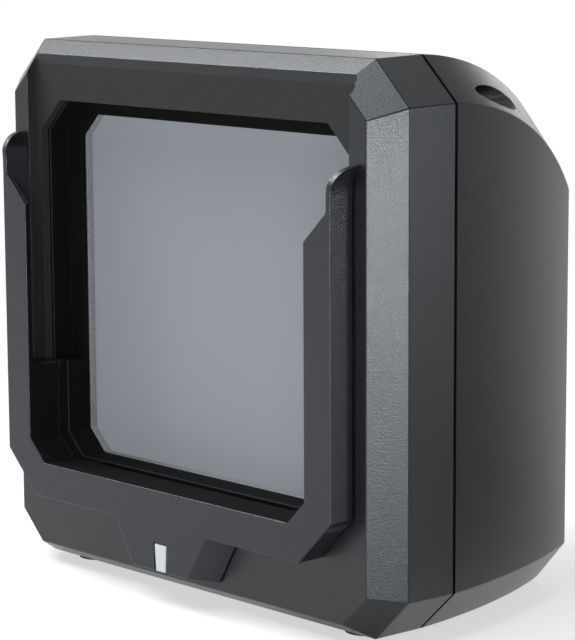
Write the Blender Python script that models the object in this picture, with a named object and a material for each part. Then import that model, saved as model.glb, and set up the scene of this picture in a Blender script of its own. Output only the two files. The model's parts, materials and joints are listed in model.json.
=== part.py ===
"""Passport reader: a counter-top housing with a document guide over a scanning window.

Sizes are in metres. Depths run back from the front face of the document guide, heights run up from
the underside of the housing, and x runs to the right as seen from the front. An empty carries all
pieces and puts the bottom centre of the whole reader, feet included, at the world origin.
"""
import math

import bmesh
import bpy
from mathutils import Matrix, Vector

CARRIER_NAME = "reader"

# Fits
GAP = 0.0003  # clearance between pieces that touch
OVERRUN = 0.002  # how far a cut reaches past the face that it opens
SINK = 0.0006  # how far a boss or rib is rooted in the wall that carries it

# Housing
BODY_WIDTH = 0.156
BODY_HEIGHT = 0.148
CORNER_CUT = 0.0117
SHELL_WALL = 0.0025
FRONT_SHELL_DEPTH = 0.0234
REAR_SHELL_DEPTH = 0.0615
SIDE_DRAW_IN = 0.0162
REAR_CORNER_WIDTH = 0.009
TOP_DROP = 0.0274
EDGE_ROUND = 0.0009
BACK_ROUND_SHARE = 0.3  # of the edge round, where the back's rim bends
BEVEL_WIDTH = 0.0077
BEVEL_DEPTH = 0.0077
FACE_LIFT = 0.0047
FACE_DROP = 0.0065
FACE_CORNER_CUT = 0.0085
LIP_LENGTH = 0.0025
LIP_WALL = 0.0013
LIP_ROOT = 0.003

# Document guide
GUIDE_DEPTH = 0.0081
GUIDE_INSET = 0.01205
GUIDE_BOTTOM = 0.0208
GUIDE_CORNER_CUT = 0.012
GUIDE_FACE_WIDTH = 0.0098
GUIDE_PLATE = 0.0015
GUIDE_WALL = 0.0017
GUIDE_ROUND = 0.0007
SHOULDER_HEIGHT = 0.1028
SHOULDER_RISE = 0.0079
RAIL_FRONT_HEIGHT = 0.1159
RAIL_CROWN = 0.0062
FLARE_DROP = 0.0014
FLARE_RADIUS = 0.014
LEDGE_HEIGHT = 0.0573
LEDGE_THICKNESS = 0.0015
SKIRT_REACH = 0.0023

# Light tab under the guide
TAB_BOTTOM = 0.0085
TAB_TOP_WIDTH = 0.0372
TAB_BOTTOM_WIDTH = 0.0228
TAB_DRAFT = 0.004
TAB_DROP = 0.0016
LIGHT_TOP_WIDTH = 0.005
LIGHT_BOTTOM_WIDTH = 0.0038
LIGHT_HEIGHT = 0.0075
LIGHT_FLANGE = 0.0012
LIGHT_FLANGE_MARGIN = 0.0015
LIGHT_STEM_WIDTH = 0.003
LIGHT_STEM_HEIGHT = 0.0036

# Recess and scanning window
POCKET_DEPTH = 0.003
CAVITY_MARGIN = 0.0022
CAVITY_TOP_MARGIN = 0.017
WINDOW_TOP_MARGIN = 0.004
CAVITY_CORNER_CUT = 0.0085
FLOOR_SLOT_HALF = 0.0397
FLOOR_SLOT_DROP = 0.0015
HOOD_DEPTH = 0.0084
HOOD_WALL = 0.0018
HOOD_FLANGE = 0.0015
SEAL_THICKNESS = 0.002
SEAL_WIDTH = 0.0038
GLASS_THICKNESS = 0.003
GLASS_BORDER = 0.0048
CLAMP_THICKNESS = 0.002
CLAMP_BORDER = 0.0078
CLAMP_LIP = 0.0014
EAR_WIDTH = 0.009
EAR_REACH = 0.0046
EAR_HEIGHT_SHARES = (0.2, 0.82)  # of the window's height
ANTENNA_THICKNESS = 0.001

# Screws and bosses
CASE_WELL_RADIUS = 0.0035
CASE_SCREW_RADIUS = 0.0014
CASE_HEAD_RADIUS = 0.0027
CASE_HEAD_HEIGHT = 0.0022
CASE_SCREW_LENGTH = 0.011
CASE_BOSS_RADIUS = 0.004
WELL_WALL = 0.0016
WELL_FLOOR = 0.003
UPPER_SCREW_INSET = 0.0076
UPPER_SCREW_DROP = 0.0119
LOWER_SCREW_INSET = 0.0255
LOWER_SCREW_RISE = 0.0155
SMALL_SCREW_RADIUS = 0.001
SMALL_HEAD_RADIUS = 0.0019
SMALL_HEAD_HEIGHT = 0.0013
SMALL_BOSS_RADIUS = 0.0023
HEAD_CROWN_SHARES = (0.75, 0.6)  # a head's flat top of its radius, and its shoulder of its height
GUIDE_SCREW_REACH = 0.004
CLAMP_SCREW_REACH = 0.006
GUIDE_SCREW_HEIGHT_SHARE = 0.4  # of the way from the recess floor to the ledge
GUIDE_SCREW_SPREAD_SHARE = 0.62  # of the half width of the recess

# Feet
FOOT_RADIUS = 0.006
FOOT_HEIGHT = 0.0015
FOOT_STANDOFF = 0.001
FOOT_FRONT_INSET = 0.023
FOOT_REAR_SETBACK = 0.0115
FOOT_REAR_INSET = 0.0225

# Light chamber behind the window
SHROUD_WALL = 0.0015
SHROUD_FLANGE = 0.0018
SHROUD_MARGIN = 0.0016
SHROUD_STRAIGHT = 0.012
SHROUD_TAPER = 0.024
SHROUD_END_RADIUS = 0.0135
SHROUD_SCREW_MARGIN = 0.0135
LED_BOARD_THICKNESS = 0.0012
LED_BOARD_DEPTH = 0.009
LED_BOARD_MARGIN = 0.0072
LED_COUNT = 6
LED_SIZE = 0.003
LED_HEIGHT = 0.001
DIFFUSER_THICKNESS = 0.0012
DIFFUSER_STANDOFF = 0.0032
CABLE_RADIUS = 0.0008

# Camera
CAMERA_BOARD_SIZE = 0.042
BOARD_THICKNESS = 0.0016
CAMERA_POST_LENGTH = 0.0045
CAMERA_POST_INSET = 0.004
SENSOR_WIDTH = 0.012
SENSOR_HEIGHT = 0.009
SENSOR_THICKNESS = 0.0013
HOLDER_SIZE = 0.021
HOLDER_BASE = 0.0045
HOLDER_RADIUS = 0.0088
HOLDER_LENGTH = 0.01
BARREL_RADIUS = 0.0064
BARREL_LENGTH = 0.0125
BARREL_HEAD_RADIUS = 0.0078
BARREL_HEAD = 0.004
LENS_RADIUS = 0.0052
LENS_CROWN = 0.0018
RIBBON_WIDTH = 0.009
RIBBON_THICKNESS = 0.0004

# Main board and sockets
MAIN_BOARD_LIFT = 0.0052
MAIN_BOARD_MARGIN = 0.0025
MAIN_BOARD_FRONT_GAP = 0.0045
MAIN_POST_RADIUS = 0.0028
MAIN_POST_INSET = 0.0045
USB_WIDTH = 0.012
USB_HEIGHT = 0.0108
USB_LENGTH = 0.016
USB_OFFSET = 0.017
USB_METAL = 0.0008
USB_TONGUE_WIDTH = 0.0056
USB_TONGUE_HEIGHT = 0.0032
POWER_WIDTH = 0.009
POWER_HEIGHT = 0.011
POWER_LENGTH = 0.014
POWER_OFFSET = 0.017
POWER_BORE_RADIUS = 0.0032
POWER_BORE_DEPTH = 0.0095
POWER_PIN_RADIUS = 0.001
PROCESSOR_SIZE = 0.016
PROCESSOR_HEIGHT = 0.0014
SINK_SIZE = 0.024
SINK_BASE = 0.002
SINK_HEIGHT = 0.0085
FIN_COUNT = 7
FIN_THICKNESS = 0.0012
BUZZER_RADIUS = 0.0046
BUZZER_HEIGHT = 0.0042
BUZZER_HOLE_RADIUS = 0.001
CAPACITOR_RADIUS = 0.0032
CAPACITOR_HEIGHT = 0.0078
HEADER_LENGTH = 0.01
HEADER_DEPTH = 0.0045
HEADER_HEIGHT = 0.0045
STATUS_BOARD_WIDTH = 0.02
STATUS_BOARD_HEIGHT = 0.011
STATUS_POST_SPREAD = 0.0075
STATUS_PIN_REACH = 0.002

# Placement on the main board, as shares of its half width and its depth
PROCESSOR_SHARES = (0.1, 0.42)
BUZZER_SHARES = (-0.62, 0.3)
CAPACITOR_SHARES = ((0.66, 0.54), (0.66, 0.7), (0.45, 0.62))
HEADER_SHARES = ((-0.62, 0.12), (0.62, 0.12), (-0.25, 0.1), (0.28, 0.1), (0, 0.8))

# Worked out from the sizes above
HALF_WIDTH = BODY_WIDTH / 2
FACE = GUIDE_DEPTH
SEAM = FACE + FRONT_SHELL_DEPTH
BACK = SEAM + REAR_SHELL_DEPTH
POCKET_FLOOR = FACE + POCKET_DEPTH
FACE_INSIDE = POCKET_FLOOR + SHELL_WALL
GUIDE_HALF = HALF_WIDTH - GUIDE_INSET
SLOT_HALF = GUIDE_HALF - GUIDE_WALL
RECESS_HALF = GUIDE_HALF - GUIDE_FACE_WIDTH
RECESS_BOTTOM = GUIDE_BOTTOM + GUIDE_FACE_WIDTH
CAVITY_HALF = SLOT_HALF - CAVITY_MARGIN
CAVITY_TOP = BODY_HEIGHT - CAVITY_TOP_MARGIN
WINDOW_TOP = CAVITY_TOP - WINDOW_TOP_MARGIN
WINDOW_CENTRE = (RECESS_BOTTOM + WINDOW_TOP) / 2
LED_BOARD_LENGTH = WINDOW_TOP - RECESS_BOTTOM - LED_BOARD_MARGIN * 2
HOOD_FRONT = FACE_INSIDE + GAP
HOOD_REAR = FACE_INSIDE + HOOD_DEPTH
SEAL_FRONT = HOOD_REAR + GAP
GLASS_FRONT = SEAL_FRONT + SEAL_THICKNESS + GAP
CLAMP_FRONT = GLASS_FRONT + GLASS_THICKNESS + GAP
ANTENNA_FRONT = CLAMP_FRONT + CLAMP_THICKNESS + GAP
SHROUD_FRONT = ANTENNA_FRONT + ANTENNA_THICKNESS + GAP
SHROUD_BEND = SHROUD_FRONT + SHROUD_FLANGE + SHROUD_STRAIGHT
SHROUD_END = SHROUD_BEND + SHROUD_TAPER
CAMERA_BOARD_REAR = BACK - SHELL_WALL - CAMERA_POST_LENGTH - GAP
CAMERA_BOARD_FRONT = CAMERA_BOARD_REAR - BOARD_THICKNESS
MAIN_BOARD_BOTTOM = SHELL_WALL + MAIN_BOARD_LIFT + GAP
MAIN_BOARD_TOP = MAIN_BOARD_BOTTOM + BOARD_THICKNESS
MAIN_BOARD_FRONT = SEAM + LIP_ROOT + MAIN_BOARD_FRONT_GAP
MAIN_BOARD_REAR = BACK - SHELL_WALL - GAP
BOARD_SEAT = MAIN_BOARD_TOP + GAP
LOWER_BOSS_X = HALF_WIDTH - LOWER_SCREW_INSET
WELL_RADIUS = CASE_WELL_RADIUS + WELL_WALL
MAIN_BOARD_HALF = LOWER_BOSS_X - WELL_RADIUS - MAIN_BOARD_MARGIN
DIAGONAL_SHARE = 2 - math.sqrt(2)  # how much a 45 degree corner cut loses as its outline moves in
ROUND_STEPS = 2
CURVE_STEPS = 7
CIRCLE_STEPS = 16


# Outlines

def soften(points, cut, closed=True, steps=ROUND_STEPS):
    """Swap each corner of a path for a short curve that starts `cut` before it."""
    corners = [Vector(point) for point in points]
    softened = []
    for index, corner in enumerate(corners):
        if not closed and index in (0, len(corners) - 1):
            softened.append(tuple(corner))
            continue
        before = corners[index - 1] - corner
        after = corners[(index + 1) % len(corners)] - corner
        start = corner + before.normalized() * min(cut, before.length / 2)
        end = corner + after.normalized() * min(cut, after.length / 2)
        for step in range(steps + 1):
            t = step / steps
            softened.append(tuple(start * (1 - t) ** 2 + corner * 2 * t * (1 - t) + end * t ** 2))
    return softened


def mirrored(right_side):
    """Close an outline given by its right side, bottom to top."""
    return right_side + [(-x, z) for x, z in reversed(right_side)]


def octagon(half_width, bottom, top, corner, corner_width=None):
    """A rectangle with its corners cut, at 45 degrees unless the cut's width is given."""
    width = corner if corner_width is None else corner_width
    return mirrored([
        (half_width - width, bottom),
        (half_width, bottom + corner),
        (half_width, top - corner),
        (half_width - width, top),
    ])


def rectangle(x_range, z_range):
    left, right = x_range
    bottom, top = z_range
    return [(left, bottom), (right, bottom), (right, top), (left, top)]


def inset_cut(cut, inset):
    """The corner cut of an outline moved in by `inset`, or out where that is negative."""
    return max(cut - inset * DIAGONAL_SHARE, 0)


def window_outline(grow, top=WINDOW_TOP):
    """The scanning window's octagon, grown on all sides."""
    cut = inset_cut(GUIDE_CORNER_CUT, GUIDE_FACE_WIDTH - grow)
    return octagon(RECESS_HALF + grow, RECESS_BOTTOM - grow, top + grow, cut)


def recess_outline(grow):
    """The recess: narrow below the ledges, wider above them."""
    cut = inset_cut(GUIDE_CORNER_CUT, GUIDE_FACE_WIDTH - grow)
    top_cut = inset_cut(CAVITY_CORNER_CUT, -grow)
    return mirrored([
        (RECESS_HALF + grow - cut, RECESS_BOTTOM - grow),
        (RECESS_HALF + grow, RECESS_BOTTOM - grow + cut),
        (RECESS_HALF + grow, LEDGE_HEIGHT - grow),
        (CAVITY_HALF + grow, LEDGE_HEIGHT - grow),
        (CAVITY_HALF + grow, CAVITY_TOP + grow - top_cut),
        (CAVITY_HALF + grow - top_cut, CAVITY_TOP + grow),
    ])


# Meshes

def at_depth(outline, depth):
    return [(x, depth, z) for x, z in outline]


def loft(bm, rings):
    """Skin a closed solid over rings of equal count."""
    rows = [[bm.verts.new(point) for point in ring] for ring in rings]
    count = len(rows[0])
    for row, following in zip(rows, rows[1:]):
        for index in range(count):
            across = (index + 1) % count
            bm.faces.new((row[index], row[across], following[across], following[index]))
    bm.faces.new(rows[0])
    bm.faces.new(rows[-1])
    bmesh.ops.recalc_face_normals(bm, faces=bm.faces)


def prism(bm, outline, front, rear):
    loft(bm, [at_depth(outline, front), at_depth(outline, rear)])


def block(bm, x_range, depth_range, z_range):
    prism(bm, rectangle(x_range, z_range), *depth_range)


def rod(bm, start, end, radius, end_radius=None, steps=CIRCLE_STEPS):
    """A round bar, or a cone, between two points."""
    axis = Vector(end) - Vector(start)
    turn = axis.to_track_quat("Z", "Y").to_matrix().to_4x4()
    place = Matrix.Translation((Vector(start) + Vector(end)) / 2) @ turn
    bmesh.ops.create_cone(
        bm,
        cap_ends=True,
        segments=steps,
        radius1=radius,
        radius2=radius if end_radius is None else end_radius,
        depth=axis.length,
        matrix=place,
    )


def depth_rod(bm, x, z, radius, front, rear, steps=CIRCLE_STEPS):
    rod(bm, (x, front, z), (x, rear, z), radius, steps=steps)


def screw(bm, seat, tip, radius, head_radius, head_height, steps=8):
    """One pan-head screw: a head on its seat and a shank that runs to its tip."""
    seat, tip = Vector(seat), Vector(tip)
    along = (tip - seat).normalized()
    crown, shoulder = HEAD_CROWN_SHARES
    profile = [
        (-head_height, head_radius * crown),
        (-head_height * shoulder, head_radius),
        (0, head_radius),
        (0, radius),
        ((tip - seat).length, radius),
    ]
    side = along.orthogonal().normalized()
    other = along.cross(side)
    rings = []
    for distance, ring_radius in profile:
        centre = seat + along * distance
        rings.append([
            tuple(centre + (side * math.cos(angle) + other * math.sin(angle)) * ring_radius)
            for angle in (math.tau * step / steps for step in range(steps))
        ])
    loft(bm, rings)


# Objects

def material(name, colour, roughness, metallic=0.0):
    made = bpy.data.materials.new(name)
    made.use_nodes = True
    shader = made.node_tree.nodes["Principled BSDF"]
    shader.inputs["Base Color"].default_value = (*colour, 1)
    shader.inputs["Roughness"].default_value = roughness
    shader.inputs["Metallic"].default_value = metallic
    return made


def add_object(name, bm, finish=None):
    mesh = bpy.data.meshes.new(name)
    bmesh.ops.recalc_face_normals(bm, faces=bm.faces)
    bm.to_mesh(mesh)
    bm.free()
    mesh.shade_smooth()
    mesh.set_sharp_from_angle(angle=math.radians(30))
    made = bpy.data.objects.new(name, mesh)
    made.parent = bpy.data.objects[CARRIER_NAME]
    bpy.context.scene.collection.objects.link(made)
    if finish:
        mesh.materials.append(finish)
    return made


def modify(target, name, build, operation):
    """Cut from, or join to, an object the solids that build(bm) draws."""
    bm = bmesh.new()
    build(bm)
    tool = add_object(f"{target.name}_{name}", bm)
    tool.hide_render = True
    tool.display_type = "WIRE"
    boolean = target.modifiers.new(name, "BOOLEAN")
    boolean.operation = operation
    boolean.object = tool
    return tool


def cut(target, name, build):
    return modify(target, name, build, "DIFFERENCE")


def join(target, name, build):
    return modify(target, name, build, "UNION")


# Housing shells

def front_section(depth, inset=0.0):
    """The front shell's outline at a depth, moved in by `inset`."""
    share = min(max((depth - FACE) / BEVEL_DEPTH, 0), 1)
    corner = inset_cut(FACE_CORNER_CUT + (CORNER_CUT - FACE_CORNER_CUT) * share, inset)
    return octagon(
        HALF_WIDTH - BEVEL_WIDTH * (1 - share) - inset,
        FACE_LIFT * (1 - share) + inset,
        BODY_HEIGHT - FACE_DROP * (1 - share) - inset,
        corner,
    )


def arc_sag(distance, length, drop):
    """How far an arc, level at its start, has dropped after `distance` of its `length`."""
    radius = (length ** 2 + drop ** 2) / (2 * drop)
    return radius - math.sqrt(radius ** 2 - distance ** 2)


def rear_section(depth, inset=0.0):
    """The rear shell's outline at a depth, moved in by `inset`."""
    distance = min(max(depth - SEAM, 0), REAR_SHELL_DEPTH)
    corner = inset_cut(CORNER_CUT, inset)
    narrowing = (CORNER_CUT - REAR_CORNER_WIDTH) * distance / REAR_SHELL_DEPTH
    return octagon(
        HALF_WIDTH - arc_sag(distance, REAR_SHELL_DEPTH, SIDE_DRAW_IN) - inset,
        inset,
        BODY_HEIGHT - arc_sag(distance, REAR_SHELL_DEPTH, TOP_DROP) - inset,
        corner,
        corner - narrowing,
    )


def rounded_front(depth, inset=0.0):
    return at_depth(soften(front_section(depth, inset), EDGE_ROUND), depth)


def rounded_rear(depth, inset=0.0):
    return at_depth(soften(rear_section(depth, inset), EDGE_ROUND), depth)


def case_screw_places():
    """The four case screws, as x, z and the depth at which their wells end."""
    upper_x = HALF_WIDTH - UPPER_SCREW_INSET
    upper_z = BODY_HEIGHT - UPPER_SCREW_DROP
    return [(side * x, z) for side in (-1, 1) for x, z in (
        (upper_x, upper_z),
        (LOWER_BOSS_X, LOWER_SCREW_RISE),
    )]


def case_screw_seat():
    return SEAM + GAP + WELL_FLOOR + GAP


def case_screw_tip():
    return case_screw_seat() - CASE_SCREW_LENGTH


def foot_places(front):
    depth = (FACE + BEVEL_DEPTH + SEAM) / 2 if front else BACK - FOOT_REAR_SETBACK
    spread = HALF_WIDTH - (FOOT_FRONT_INSET if front else SIDE_DRAW_IN + FOOT_REAR_INSET)
    return [(-spread, depth), (spread, depth)]


def foot_recess(bm, front):
    for x, depth in foot_places(front):
        roof = FOOT_HEIGHT - FOOT_STANDOFF + GAP
        rod(bm, (x, depth, -OVERRUN), (x, depth, roof), FOOT_RADIUS + GAP)


def ear_heights():
    height = WINDOW_TOP - RECESS_BOTTOM
    return [RECESS_BOTTOM + height * share for share in EAR_HEIGHT_SHARES]


def ear_places():
    """The clamp's four screws."""
    x = CAVITY_HALF + HOOD_WALL + EAR_REACH
    return [(side * x, z) for side in (-1, 1) for z in ear_heights()]


def guide_screw_places():
    post_x = (RECESS_HALF + SLOT_HALF + GUIDE_WALL) / 2
    post_z = RECESS_BOTTOM + (LEDGE_HEIGHT - RECESS_BOTTOM) * GUIDE_SCREW_HEIGHT_SHARE
    bar_z = (GUIDE_BOTTOM + RECESS_BOTTOM) / 2
    bar_x = RECESS_HALF * GUIDE_SCREW_SPREAD_SHARE
    return [(side * x, z) for side in (-1, 1) for x, z in ((post_x, post_z), (bar_x, bar_z))]


def light_stem_height():
    return TAB_BOTTOM + GUIDE_WALL + GAP + LIGHT_FLANGE_MARGIN + LIGHT_STEM_HEIGHT / 2


def status_post_places():
    return [(-STATUS_POST_SPREAD, light_stem_height()), (STATUS_POST_SPREAD, light_stem_height())]


def status_board_front():
    return FACE_INSIDE + SMALL_BOSS_RADIUS * 2


def make_front_shell(finish):
    bm = bmesh.new()
    ridge = FACE + BEVEL_DEPTH
    rings = [rounded_front(FACE, EDGE_ROUND / 2), rounded_front(FACE + EDGE_ROUND / 2)]
    rings += [rounded_front(depth) for depth in (ridge - EDGE_ROUND / 2, ridge + EDGE_ROUND / 2, SEAM)]
    loft(bm, rings)
    shell = add_object("front_shell", bm, finish)

    def inside(bm):
        depths = (FACE_INSIDE, ridge + SHELL_WALL / 2, SEAM + OVERRUN)
        loft(bm, [at_depth(front_section(depth - SHELL_WALL / 2, SHELL_WALL), depth) for depth in depths])

    def pocket(bm):
        floor = LEDGE_HEIGHT - LEDGE_THICKNESS - GAP
        block(bm, (-SLOT_HALF, SLOT_HALF), (-OVERRUN, POCKET_FLOOR), (floor, BODY_HEIGHT + OVERRUN))

    def skirt_seat(bm):
        outline = window_outline(GUIDE_WALL + GAP)
        prism(bm, outline, -OVERRUN, FACE + SKIRT_REACH + GAP)

    def opening(bm):
        prism(bm, recess_outline(GAP), -OVERRUN, FACE_INSIDE + OVERRUN)

    def floor_slot(bm):
        """A long slot in the recess's floor, between the guide's skirt and the hood."""
        heights = (RECESS_BOTTOM - GAP - FLOOR_SLOT_DROP, RECESS_BOTTOM)
        block(bm, (-FLOOR_SLOT_HALF, FLOOR_SLOT_HALF), (FACE + SKIRT_REACH, FACE_INSIDE + OVERRUN), heights)

    def bosses(bm):
        for x, z in case_screw_places():
            start = ridge if z > WINDOW_CENTRE else FACE_INSIDE - SINK
            depth_rod(bm, x, z, CASE_BOSS_RADIUS, start, SEAM)
        for x, z in ear_places():
            depth_rod(bm, x, z, SMALL_BOSS_RADIUS, FACE_INSIDE - SINK, CLAMP_FRONT - GAP)
        for x, z in status_post_places():
            depth_rod(bm, x, z, SMALL_BOSS_RADIUS, FACE_INSIDE - SINK, status_board_front() - GAP)

    def pins(bm):
        """Pins on the status light's posts, melted over the board at assembly."""
        start = status_board_front() - GAP - SINK
        for x, z in status_post_places():
            depth_rod(bm, x, z, SMALL_SCREW_RADIUS, start, status_board_front() + STATUS_PIN_REACH)

    def holes(bm):
        for x, z in case_screw_places():
            depth_rod(bm, x, z, CASE_SCREW_RADIUS + GAP, case_screw_tip() - GAP, SEAM + OVERRUN)
        for x, z in ear_places():
            depth_rod(bm, x, z, SMALL_SCREW_RADIUS + GAP, CLAMP_FRONT - CLAMP_SCREW_REACH - GAP, CLAMP_FRONT)
        for x, z in guide_screw_places():
            depth_rod(bm, x, z, SMALL_SCREW_RADIUS + GAP, -OVERRUN, FACE_INSIDE + OVERRUN)
        foot_recess(bm, True)

    def light_hole(bm):
        half = LIGHT_STEM_WIDTH / 2 + GAP
        middle = light_stem_height()
        reach = LIGHT_STEM_HEIGHT / 2 + GAP
        block(bm, (-half, half), (-OVERRUN, FACE_INSIDE + OVERRUN), (middle - reach, middle + reach))

    cut(shell, "inside", inside)
    join(shell, "bosses", bosses)
    join(shell, "pins", pins)
    cut(shell, "pocket", pocket)
    cut(shell, "skirt_seat", skirt_seat)
    cut(shell, "opening", opening)
    cut(shell, "floor_slot", floor_slot)
    cut(shell, "holes", holes)
    cut(shell, "light_hole", light_hole)
    return shell


def rear_depths(front, rear):
    return [front + (rear - front) * step / CURVE_STEPS for step in range(CURVE_STEPS + 1)]


def make_rear_shell(finish):
    front = SEAM + GAP
    lip_front = SEAM - LIP_LENGTH
    lip_outside = SHELL_WALL + GAP
    lip_inside = lip_outside + LIP_WALL
    root_end = front + LIP_ROOT
    inside_back = BACK - SHELL_WALL
    bm = bmesh.new()
    lip = soften(rear_section(SEAM, lip_outside), EDGE_ROUND)
    rings = [at_depth(lip, lip_front), at_depth(lip, front)]
    rings += [rounded_rear(depth) for depth in rear_depths(front, BACK - EDGE_ROUND)]
    turn = EDGE_ROUND * BACK_ROUND_SHARE
    rings += [rounded_rear(BACK - turn, turn), rounded_rear(BACK, EDGE_ROUND)]
    loft(bm, rings)
    shell = add_object("rear_shell", bm, finish)

    def inside(bm):
        depths = [lip_front - OVERRUN, root_end]
        rings = [at_depth(rear_section(SEAM, lip_inside), depth) for depth in depths]
        curve = rear_depths(root_end + LIP_WALL, inside_back)
        rings += [at_depth(rear_section(depth + SHELL_WALL / 2, SHELL_WALL), depth) for depth in curve]
        loft(bm, rings)

    def well_tubes(bm):
        for x, z in case_screw_places():
            depth_rod(bm, x, z, WELL_RADIUS, front, BACK - EDGE_ROUND)

    def envelope(bm):
        depths = rear_depths(front, BACK)
        loft(bm, [rounded_rear(depth, GAP) for depth in depths])

    def posts(bm):
        for x, depth in main_post_places():
            rod(bm, (x, depth, SHELL_WALL - SINK), (x, depth, MAIN_BOARD_BOTTOM - GAP), MAIN_POST_RADIUS)
        for x, z in camera_post_places():
            depth_rod(bm, x, z, MAIN_POST_RADIUS, CAMERA_BOARD_REAR + GAP, inside_back + SINK)

    def wells(bm):
        for x, z in case_screw_places():
            depth_rod(bm, x, z, CASE_WELL_RADIUS, front + WELL_FLOOR, BACK + OVERRUN)

    def holes(bm):
        for x, z in case_screw_places():
            depth_rod(bm, x, z, CASE_SCREW_RADIUS + GAP, lip_front - OVERRUN, front + WELL_FLOOR + OVERRUN)
        for x, depth in main_post_places():
            rod(bm, (x, depth, SHELL_WALL), (x, depth, MAIN_BOARD_BOTTOM + OVERRUN), SMALL_SCREW_RADIUS + GAP)
        for x, z in camera_post_places():
            depth_rod(bm, x, z, SMALL_SCREW_RADIUS + GAP, CAMERA_BOARD_REAR - OVERRUN, inside_back)
        foot_recess(bm, False)

    def lip_notches(bm):
        for x, z in case_screw_places():
            depth_rod(bm, x, z, CASE_BOSS_RADIUS + GAP, lip_front - OVERRUN, front)

    def socket_holes(bm):
        for centre, width, height in socket_places():
            block(
                bm,
                (centre - width / 2 - GAP, centre + width / 2 + GAP),
                (inside_back - OVERRUN, BACK + OVERRUN),
                (BOARD_SEAT - GAP, BOARD_SEAT + height + GAP),
            )

    cut(shell, "inside", inside)
    tubes = join(shell, "well_tubes", well_tubes)
    bm = bmesh.new()
    envelope(bm)
    limit = add_object("rear_shell_envelope", bm)
    limit.hide_render = True
    limit.display_type = "WIRE"
    trim = tubes.modifiers.new("envelope", "BOOLEAN")
    trim.operation = "INTERSECT"
    trim.object = limit
    join(shell, "posts", posts)
    cut(shell, "wells", wells)
    cut(shell, "lip_notches", lip_notches)
    cut(shell, "holes", holes)
    cut(shell, "socket_holes", socket_holes)
    return shell


# Document guide

def flare(half_width, top):
    """The rail wall's outline where it leans out towards its top."""
    start = top - RAIL_CROWN - FLARE_DROP
    steps = 4
    points = []
    for step in range(steps + 1):
        rise = (top - start) * step / steps
        points.append((half_width + arc_sag(rise, FLARE_RADIUS, FLARE_RADIUS), start + rise))
    return points


def guide_outline():
    """The guide's U: up the outside of the right rail, down its inside, then the left rail."""
    top = RAIL_FRONT_HEIGHT + RAIL_CROWN
    corner = inset_cut(GUIDE_CORNER_CUT, GUIDE_FACE_WIDTH)
    outer = [(GUIDE_HALF - GUIDE_CORNER_CUT, GUIDE_BOTTOM), (GUIDE_HALF, GUIDE_BOTTOM + GUIDE_CORNER_CUT)]
    inner = [
        (SLOT_HALF, SHOULDER_HEIGHT + SHOULDER_RISE),
        (RECESS_HALF, SHOULDER_HEIGHT),
        (RECESS_HALF, RECESS_BOTTOM + corner),
        (RECESS_HALF - corner, RECESS_BOTTOM),
    ]
    rail_inside = list(reversed(flare(SLOT_HALF, top)))
    return mirrored(soften_right(outer) + flare(GUIDE_HALF, top) + rail_inside + soften_right(inner))


def soften_right(points):
    """Soften the corners of a stretch of outline, all but its two ends."""
    return soften(points, GUIDE_ROUND, closed=False) if len(points) > 2 else points


def tab_outline(grow, drop):
    """The light tab: a trapezoid that hangs from the guide's lower bar."""
    top = GUIDE_BOTTOM + GUIDE_WALL / 2
    return [
        (TAB_BOTTOM_WIDTH / 2 + grow, TAB_BOTTOM - drop),
        (TAB_TOP_WIDTH / 2 + grow, GUIDE_BOTTOM - drop),
        (TAB_TOP_WIDTH / 2 + grow, top),
        (-TAB_TOP_WIDTH / 2 - grow, top),
        (-TAB_TOP_WIDTH / 2 - grow, GUIDE_BOTTOM - drop),
        (-TAB_BOTTOM_WIDTH / 2 - grow, TAB_BOTTOM - drop),
    ]


def light_outline(grow, bottom):
    top = TAB_BOTTOM + LIGHT_HEIGHT + grow
    return [
        (LIGHT_BOTTOM_WIDTH / 2 + grow, bottom),
        (LIGHT_TOP_WIDTH / 2 + grow, top),
        (-LIGHT_TOP_WIDTH / 2 - grow, top),
        (-LIGHT_BOTTOM_WIDTH / 2 - grow, bottom),
    ]


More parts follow.
